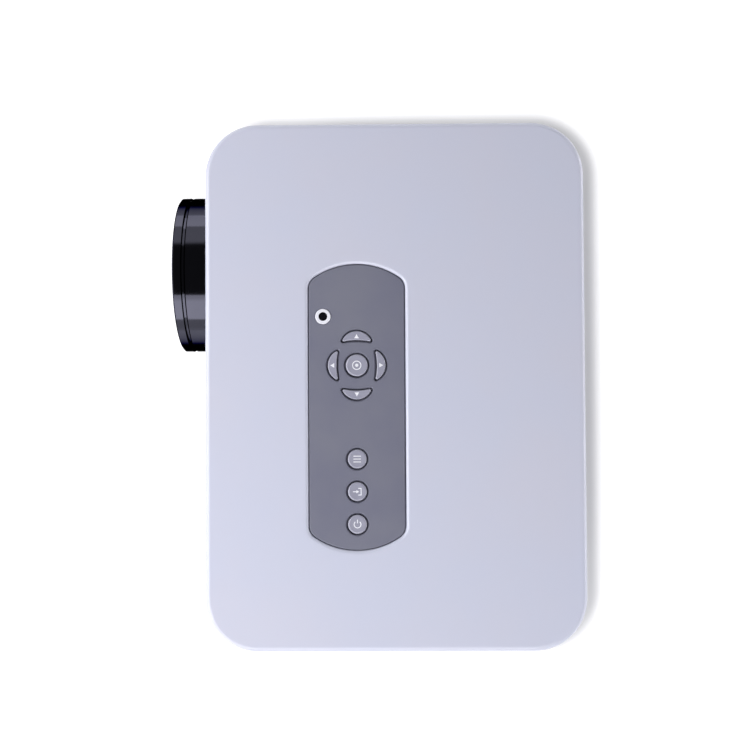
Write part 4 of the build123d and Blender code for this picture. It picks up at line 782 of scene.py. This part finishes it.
@dataclass
class KeySymbols:
    """White symbols printed on the keys. The top of a symbol points along -X, as the keys are read.

    Attributes:
        bench: Where the pieces are made.
        ink: Thickness of the print.
        top: Height of the keys' rims.
        ok_x: Middle of the OK key along X.
        row_y: Middle of the row of keys along Y.
        round_x: Middles of the round keys along X: menu, source and power.
        dish: Depth of the hollow in a key's top.
        ok_dish: Radius of the OK key's hollow.
        round_dish: Radius of a round key's hollow.
        far_reach: From the OK key to the up and down arrows.
        side_reach: From the OK key to the left and right arrows.
        arrow_radius: Radius to the corners of an arrow.
        head_radius: The same for the arrow on the source key.
        ok_ring: Radius of the ring on the OK key.
        ok_dot: Radius of the dot in it.
        power_ring: Radius of the power sign.
        power_arc: Length of its arc in degrees.
        power_start: Where its arc begins, in degrees from X.
    """

    bench: Bench
    ink: float = 0.05 * MM
    top: float = 91.8 * MM
    ok_x: float = -9.45 * MM
    row_y: float = -9.3 * MM
    round_x: Triple = (33.05 * MM, 47.82 * MM, 62.59 * MM)
    dish: float = 0.25 * MM
    ok_dish: float = 4.05 * MM
    round_dish: float = 3.35 * MM
    far_reach: float = 12.9 * MM
    side_reach: float = 10.8 * MM
    arrow_radius: float = 1.25 * MM
    head_radius: float = 0.85 * MM
    ok_ring: float = 1.9 * MM
    ok_dot: float = 0.75 * MM
    power_ring: float = 1.55 * MM
    power_arc: float = 280.0
    power_start: float = 220.0

    def build(self) -> None:
        """Prints every symbol."""
        self._arrows()
        self._ok()
        self._menu()
        self._source()
        self._power()

    def _print(self, mesh: Mesh, key: str, middle: float = 0.0, hollow: float = 0.0) -> None:
        """Puts a symbol on its key, laid into the key's dish where it has one.

        Args:
            mesh: The symbol, at the height of the key's rim.
            key: Which key it is on.
            middle: Where the dish's middle lies along X.
            hollow: Radius of the dish, or 0 for a flat key.
        """
        if hollow:
            for vert in mesh.verts:
                reach = math.hypot(vert.co.x - middle, vert.co.y - self.row_y) / hollow
                vert.co.z -= self.dish * (1 - reach**2)
        self.bench.put(mesh, f"{key}_symbol", f"{key}_key", "symbol_ink", WHITE_INK)

    def _strokes(self, mesh: Mesh, middle: float, strokes: tuple[Stroke, ...]) -> None:
        """Draws a symbol's straight lines.

        Args:
            mesh: The symbol.
            middle: The key's middle along X.
            strokes: The lines.
        """
        for stroke in strokes:
            place = turned(middle + stroke.x, self.row_y + stroke.y, self.top)
            block(mesh, place, (stroke.along_x, stroke.along_y, self.ink))

    def _arrows(self) -> None:
        """Prints the four outward triangles round the OK key."""
        for key, angle, reach in (
            ("up", 180, self.far_reach),
            ("down", 0, self.far_reach),
            ("left", 270, self.side_reach),
            ("right", 90, self.side_reach),
        ):
            mesh = bmesh.new()
            place = turned(self.ok_x, self.row_y, self.top, angle)
            place @= Matrix.Translation((reach, 0, 0))
            disc(mesh, place, self.arrow_radius, self.ink, TRIANGLE)
            self._print(mesh, key)

    def _ok(self) -> None:
        """Prints a ring with a dot."""
        mesh = bmesh.new()
        place = turned(self.ok_x, self.row_y, self.top)
        band(mesh, place, self.ok_ring, LINE, self.ink)
        disc(mesh, place, self.ok_dot, self.ink)
        self._print(mesh, "ok", self.ok_x, self.ok_dish)

    def _menu(self) -> None:
        """Prints three bars."""
        mesh = bmesh.new()
        middle = self.round_x[0]
        self._strokes(mesh, middle, MENU_BARS)
        self._print(mesh, "menu", middle, self.round_dish)

    def _source(self) -> None:
        """Prints an arrow that enters a frame."""
        mesh = bmesh.new()
        middle = self.round_x[1]
        self._strokes(mesh, middle, SOURCE_FRAME)
        place = turned(middle, self.row_y, self.top, 90)
        disc(mesh, place, self.head_radius, self.ink, TRIANGLE)
        self._print(mesh, "source", middle, self.round_dish)

    def _power(self) -> None:
        """Prints an open ring with a stroke through the gap."""
        mesh = bmesh.new()
        middle = self.round_x[2]
        place = turned(middle, self.row_y, self.top)
        band(mesh, place, self.power_ring, LINE, self.ink, self.power_arc, self.power_start)
        self._strokes(mesh, middle, POWER_BAR)
        self._print(mesh, "power", middle, self.round_dish)


@dataclass(frozen=True)
class ContactRow:
    """One socket's row of contacts.

    Attributes:
        name: The piece's name.
        across: Middle of the socket along X.
        up: Middle of the socket's tongue in height.
        count: Number of contacts.
        pitch: Distance from one to the next.
        width: Width of one.
    """

    name: str
    across: float
    up: float
    count: int
    pitch: float
    width: float


@dataclass
class PortDetails:
    """Contacts and faces inside the sockets at the rear.

    Attributes:
        bench: Where the pieces are made.
        face: Where the sockets' open ends lie along Y.
        rows: The rows of contacts.
        tongue: Thickness of a socket's tongue.
        length: Length of a contact.
        setback: How far a contact ends behind the socket's face.
        thickness: Thickness of a contact.
        video: Middle of the video socket, across and up.
        insert: Width, height and thickness of its blue face.
        flare: How much wider that face is at its top.
        pin_columns: Holes in a row of it.
        pin_pitch: Distance from one hole to the next.
        pin_rise: Distance from one row to the next.
        pin_shift: How far each row is set off sideways.
        pin_radius: Radius of a hole.
        pin_depth: Thickness of the dark spot of painted shade that stands for it.
        pin_sides: Sides of that spot.
    """

    bench: Bench
    face: float = 94.0 * MM
    rows: tuple[ContactRow, ...] = (
        ContactRow("usb_contacts", 8.0 * MM, 35.6 * MM, 4, 2.3 * MM, 1.1 * MM),
        ContactRow("hdmi_contacts", 24.0 * MM, 35.7 * MM, 10, 1.0 * MM, 0.45 * MM),
    )
    tongue: float = 1.6 * MM
    length: float = 6.0 * MM
    setback: float = 0.3 * MM
    thickness: float = 0.08 * MM
    video: tuple[float, float] = (48.5 * MM, 39.3 * MM)
    insert: Triple = (14.0 * MM, 6.2 * MM, 0.25 * MM)
    flare: float = 1.08
    pin_columns: int = 5
    pin_pitch: float = 2.3 * MM
    pin_rise: float = 1.95 * MM
    pin_shift: float = 0.55 * MM
    pin_radius: float = 0.52 * MM
    pin_depth: float = 0.03 * MM
    pin_sides: int = 16

    def build(self) -> None:
        """Adds every detail of the sockets."""
        for row in self.rows:
            self._contacts(row)
        self._video_face()

    def _contacts(self, row: ContactRow) -> None:
        """Lays a row of contacts along the underside of a socket's tongue.

        Args:
            row: The row's name, place and sizes.
        """
        mesh = bmesh.new()
        y = self.face - self.length / 2 - self.setback
        z = row.up - self.tongue / 2 - self.thickness
        for step in range(row.count):
            x = row.across + (step - (row.count - 1) / 2) * row.pitch
            block(mesh, turned(x, y, z), (row.width, self.length, self.thickness))
        self.bench.put(mesh, row.name, "root", "contact_gold", GOLD_CONTACT)

    def _video_face(self) -> None:
        """Adds the blue face of the video socket and its fifteen holes as dark spots."""
        mesh = bmesh.new()
        x, z = self.video
        upright = Matrix.Translation((x, self.face, z)) @ TO_REAR
        block(mesh, upright, self.insert)
        top = [vert for vert in mesh.verts if vert.co.z > z]
        about = Matrix.Translation((-x, 0, 0))
        bmesh.ops.scale(mesh, verts=top, vec=(self.flare, 1, 1), space=about)
        self.bench.put(mesh, "vga_face", "root", "port_blue", VGA_BLUE)
        # Dark spots of painted shade stand for the pin holes, which are dark only because shade
        # fills them.
        holes = bmesh.new()
        middle = (self.pin_columns - 1) / 2
        for row in (-1, 0, 1):
            for column in range(self.pin_columns):
                across = (column - middle) * self.pin_pitch + row * self.pin_shift
                spot = Matrix.Translation((across, row * self.pin_rise, self.insert[2]))
                disc(holes, upright @ spot, self.pin_radius, self.pin_depth, self.pin_sides)
        self.bench.put(holes, "vga_hole_shade", "root", "black_matte", BLACK_NYLON)


@dataclass
class SpeakerCloth:
    """Discs of cloth between the front slots and the speaker cones.

    Attributes:
        bench: Where the pieces are made.
        places: Middles of the right and the left speaker along X.
        height: Their height.
        front: Where the cloth's front lies along Y.
        radius: Radius of a disc.
        thickness: Thickness of the cloth.
        sides: Sides of a disc.
    """

    bench: Bench
    places: tuple[float, float] = (74.0 * MM, 24.0 * MM)
    height: float = 70.5 * MM
    front: float = -75.95 * MM
    radius: float = 14.45 * MM
    thickness: float = 0.2 * MM
    sides: int = 64

    def build(self) -> None:
        """Lays one disc behind each grille."""
        for side, x in zip(("right", "left"), self.places):
            mesh = bmesh.new()
            place = Matrix.Translation((x, self.front, self.height)) @ TO_REAR
            disc(mesh, place, self.radius, self.thickness, self.sides)
            self.bench.put(mesh, f"{side}_speaker_cloth", "root", "paper_cone", GRILLE_CLOTH)


@dataclass
class TrayDetails:
    """The lamp of the drive's front.

    Attributes:
        bench: Where the piece is made.
        face: Where the tray's front lies along X.
        setback: How far the lamp ends behind it.
        lamp_y: Middle of the lamp along Y.
        height: Its height.
        size: Its two sides.
        depth: How far it goes in.
    """

    bench: Bench
    face: float = 120.0 * MM
    setback: float = 0.02 * MM
    lamp_y: float = -50.0 * MM
    height: float = 21.35 * MM
    size: float = 1.5 * MM
    depth: float = 1.65 * MM

    def build(self) -> None:
        """Fills the window of the busy lamp with its light pipe."""
        mesh = bmesh.new()
        x = self.face - self.depth - self.setback
        place = Matrix.Translation((x, self.lamp_y, self.height)) @ TO_TRAY_SIDE
        block(mesh, place, (self.size, self.size, self.depth))
        self.bench.put(mesh, "busy_lamp", "tray", "lamp_green", LIGHT_PIPE)


# --------------------------------------------------------------------------------------------
# Studio
# --------------------------------------------------------------------------------------------

WHITE = (1, 1, 1, 1)


@dataclass(frozen=True)
class SoftBox:
    """A large lamp that faces the object."""

    name: str
    place: Triple
    width: float
    height: float
    watts: float
    aim: Triple = (0.0, 0.0, 0.09)

    def build(self) -> None:
        """Hangs the lamp."""
        data = bpy.data.lights.new(self.name, "AREA")
        data.shape = "RECTANGLE"
        data.size, data.size_y = self.width, self.height
        data.energy = self.watts
        lamp = bpy.data.objects.new(self.name, data)
        bpy.context.scene.collection.objects.link(lamp)
        lamp.location = self.place
        ahead = Vector(self.aim) - Vector(self.place)
        lamp.rotation_euler = ahead.to_track_quat("-Z", "Y").to_euler()


@dataclass
class Studio:
    """Floor, surrounding light, lamps and camera.

    Attributes:
        boxes: The lamps.
        paper: Colour of the floor.
        floor_half: Half the floor's side.
        glow_reach: Distances from the middle between which the floor's glow rises.
        glow_level: Its strength at the first of them and at the second.
        shadow_patch_middle: Middle of the patch of painted shadow, where the floor's glow stays
            back.
        shadow_patch_half: Half its length and width, less the rounding of its corners.
        shadow_patch_corner: Radius of that rounding.
        shadow_patch_fade: Distances from its outline between which the glow comes back.
        shadow_patch_level: Share of the glow that is left inside, which darkens the paper there.
        ambient: Strength of the surroundings as light on the object.
        wall_top: Between which heights the white walls end, from 0 level to 1 overhead.
        overhead: Brightness above them.
        eye: Place of the camera.
        tilt: How it leans from straight down, in degrees about X, Y and Z.
        focal_px: Focal length in pixels of the photograph.
        frame_px: Width of the photograph.
        sensor_mm: Width of the camera's sensor.
        clip: Nearest and furthest distance that the camera shows.
    """

    boxes: tuple[SoftBox, ...] = (
        SoftBox("right_hand_box", (0.68, -0.08, 0.58), 0.95, 0.62, 4.3),
        SoftBox("lens_side_box", (0.06, -0.58, 0.46), 0.80, 0.50, 4.6),
        SoftBox("rear_box", (0.0, 0.95, 0.16), 1.10, 0.22, 4.6),
        SoftBox("far_end_box", (-0.95, 0.0, 0.20), 1.20, 0.36, 2.0),
    )
    paper: str = "c4c4c7"
    floor_half: float = 12.0
    glow_reach: tuple[float, float] = (0.3, 1.8)
    glow_level: tuple[float, float] = (0.8, 0.97)
    # A patch of painted shadow round the object, set off towards -X and +Y where its shadow falls:
    # the paper's glow is dimmed there, so the real shadow shows and the dimming adds painted shade.
    shadow_patch_middle: Triple = (-3.2 * MM, 13.6 * MM, 0.0)
    shadow_patch_half: Triple = (110.3 * MM, 70.6 * MM, 0.0)
    shadow_patch_corner: float = 28.0 * MM
    shadow_patch_fade: tuple[float, float] = (-1.5 * MM, 8.0 * MM)
    shadow_patch_level: float = 0.2
    ambient: float = 0.5
    wall_top: tuple[float, float] = (0.70, 0.76)
    overhead: float = 0.06
    eye: Triple = (10.1 * MM, 6.1 * MM, 621.0 * MM)
    tilt: Triple = (-1.633, 0.77, -0.342)
    focal_px: float = 1167.0
    frame_px: float = 750.0
    sensor_mm: float = 36.0
    clip: tuple[float, float] = (0.01, 50.0)

    def build(self) -> None:
        """Sets up the whole studio."""
        self._floor()
        self._world()
        for box in self.boxes:
            box.build()
        self._camera()

    @staticmethod
    def _seen(tree: Tree) -> Socket:
        """Tells what the eye sees, directly or in gloss and glass.

        Args:
            tree: The node tree of the floor or the world.

        Returns:
            A socket that is 1 for such rays and 0 for others.
        """
        rays = add(tree, "ShaderNodeLightPath").outputs
        seen = rays["Is Camera Ray"]
        for kind in ("Is Glossy Ray", "Is Transmission Ray"):
            either = add(tree, "ShaderNodeMath", {"operation": "MAXIMUM"}, {0: seen, 1: rays[kind]})
            seen = either.outputs[0]
        return seen

    def _floor(self) -> None:
        """Lays a pale floor that fades to white away from the object."""
        mesh = bmesh.new()
        bmesh.ops.create_grid(mesh, x_segments=1, y_segments=1, size=self.floor_half)
        data = bpy.data.meshes.new("floor")
        mesh.to_mesh(data)
        mesh.free()
        floor = bpy.data.objects.new("floor", data)
        bpy.context.scene.collection.objects.link(floor)
        data.materials.append(self._paper())

    def _paper(self) -> bpy.types.Material:
        """Makes matt backdrop paper: a dull white that takes a soft shadow and glows to the eye.

        Returns:
            The floor's material.
        """
        material = bpy.data.materials.new("matt_white_backdrop_paper")
        material.use_nodes = True
        tree = material.node_tree
        tree.nodes.clear()
        place = add(tree, "ShaderNodeTexCoord").outputs["Object"]
        reach = add(tree, "ShaderNodeVectorMath", {"operation": "LENGTH"}, {0: place})
        glow = add(
            tree,
            "ShaderNodeMapRange",
            {
                "From Min": self.glow_reach[0],
                "From Max": self.glow_reach[1],
                "To Min": self.glow_level[0],
                "To Max": self.glow_level[1],
            },
            {"Value": reach.outputs["Value"]},
        ).outputs["Result"]
        # The glow is dimmed in the patch round the object, which paints shade there on top of the
        # paper's real shadow.
        for share in (self._shadow_patch(tree, place), self._seen(tree)):
            part = add(tree, "ShaderNodeMath", {"operation": "MULTIPLY"}, {0: glow, 1: share})
            glow = part.outputs[0]
        dull = add(tree, "ShaderNodeBsdfDiffuse", {"Color": linear(self.paper)})
        light = add(tree, "ShaderNodeEmission", {"Color": WHITE}, {"Strength": glow})
        both = add(
            tree, "ShaderNodeAddShader", links={0: dull.outputs[0], 1: light.outputs[0]}
        )
        add(tree, "ShaderNodeOutputMaterial", links={"Surface": both.outputs[0]})
        return material

    def _shadow_patch(self, tree: Tree, place: Socket) -> Socket:
        """Tells how far the paper's glow has to stay back, so that the shadow by the object shows.

        Args:
            tree: The floor's node tree.
            place: Object coordinates of the floor.

        Returns:
            A socket that is low under and beside the object, painting shadow there, and 1 further
            out.
        """
        for operation, other in (
            ("SUBTRACT", self.shadow_patch_middle),
            ("ABSOLUTE", (0.0, 0.0, 0.0)),
            ("SUBTRACT", self.shadow_patch_half),
            ("MAXIMUM", (0.0, 0.0, 0.0)),
        ):
            settings = {"operation": operation, 1: other}
            place = add(tree, "ShaderNodeVectorMath", settings, {0: place}).outputs[0]
        away = add(tree, "ShaderNodeVectorMath", {"operation": "LENGTH"}, {0: place})
        return add(
            tree,
            "ShaderNodeMapRange",
            {
                "interpolation_type": "SMOOTHSTEP",
                "From Min": self.shadow_patch_corner + self.shadow_patch_fade[0],
                "From Max": self.shadow_patch_corner + self.shadow_patch_fade[1],
                "To Min": self.shadow_patch_level,
                "To Max": 1.0,
            },
            {"Value": away.outputs["Value"]},
        ).outputs["Result"]

    def _world(self) -> None:
        """Makes white surroundings that darken overhead, where the camera stands."""
        world = bpy.data.worlds.new("studio")
        bpy.context.scene.world = world
        world.use_nodes = True
        tree = world.node_tree
        tree.nodes.clear()
        way = add(tree, "ShaderNodeTexCoord").outputs["Generated"]
        height = add(tree, "ShaderNodeSeparateXYZ", links={"Vector": way}).outputs["Z"]
        walls = add(
            tree,
            "ShaderNodeMapRange",
            {
                "From Min": self.wall_top[0],
                "From Max": self.wall_top[1],
                "To Min": 1.0,
                "To Max": self.overhead,
            },
            {"Value": height},
        ).outputs["Result"]
        level = add(
            tree,
            "ShaderNodeMapRange",
            {"To Min": self.ambient, "To Max": 1.0},
            {"Value": self._seen(tree)},
        ).outputs["Result"]
        strength = add(tree, "ShaderNodeMath", {"operation": "MULTIPLY"}, {0: walls, 1: level})
        sky = add(
            tree, "ShaderNodeBackground", {"Color": WHITE}, {"Strength": strength.outputs[0]}
        )
        add(tree, "ShaderNodeOutputWorld", links={"Surface": sky.outputs[0]})

    def _camera(self) -> None:
        """Sets the camera straight above, as the photograph was taken."""
        data = bpy.data.cameras.new("camera")
        data.sensor_width = self.sensor_mm
        data.lens = self.focal_px / self.frame_px * self.sensor_mm
        data.clip_start, data.clip_end = self.clip
        camera = bpy.data.objects.new("camera", data)
        bpy.context.scene.collection.objects.link(camera)
        # The picture's right, down and ahead while the camera looks straight down.
        level = Matrix(((0, 1, 0), (1, 0, 0), (0, 0, -1)))
        about_x, about_y, about_z = (
            Matrix.Rotation(math.radians(angle), 3, axis) for angle, axis in zip(self.tilt, "XYZ")
        )
        right, down, ahead = (about_z @ about_y @ about_x @ level).row
        axes = Matrix((right, -Vector(down), -Vector(ahead))).transposed()
        camera.matrix_world = Matrix.Translation(self.eye) @ axes.to_4x4()
        bpy.context.scene.camera = camera


@dataclass
class Projector:
    """The whole object: finishes on the CAD nodes, and the fine pieces."""

    nodes: dict[str, bpy.types.Object]

    def build(self) -> None:
        """Dresses the nodes and adds the pieces."""
        book = FinishBook()
        book.dress(self.nodes)
        bench = Bench(book)
        KeySymbols(bench).build()
        PortDetails(bench).build()
        SpeakerCloth(bench).build()
        TrayDetails(bench).build()


def main() -> None:
    """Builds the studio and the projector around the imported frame."""
    logging.basicConfig(level=logging.INFO, format="%(name)s: %(message)s")
    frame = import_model()
    bpy.context.scene.view_settings.view_transform = "Standard"
    Studio().build()
    Projector(frame["nodes"]).build()


if __name__ == "__main__":
    main()
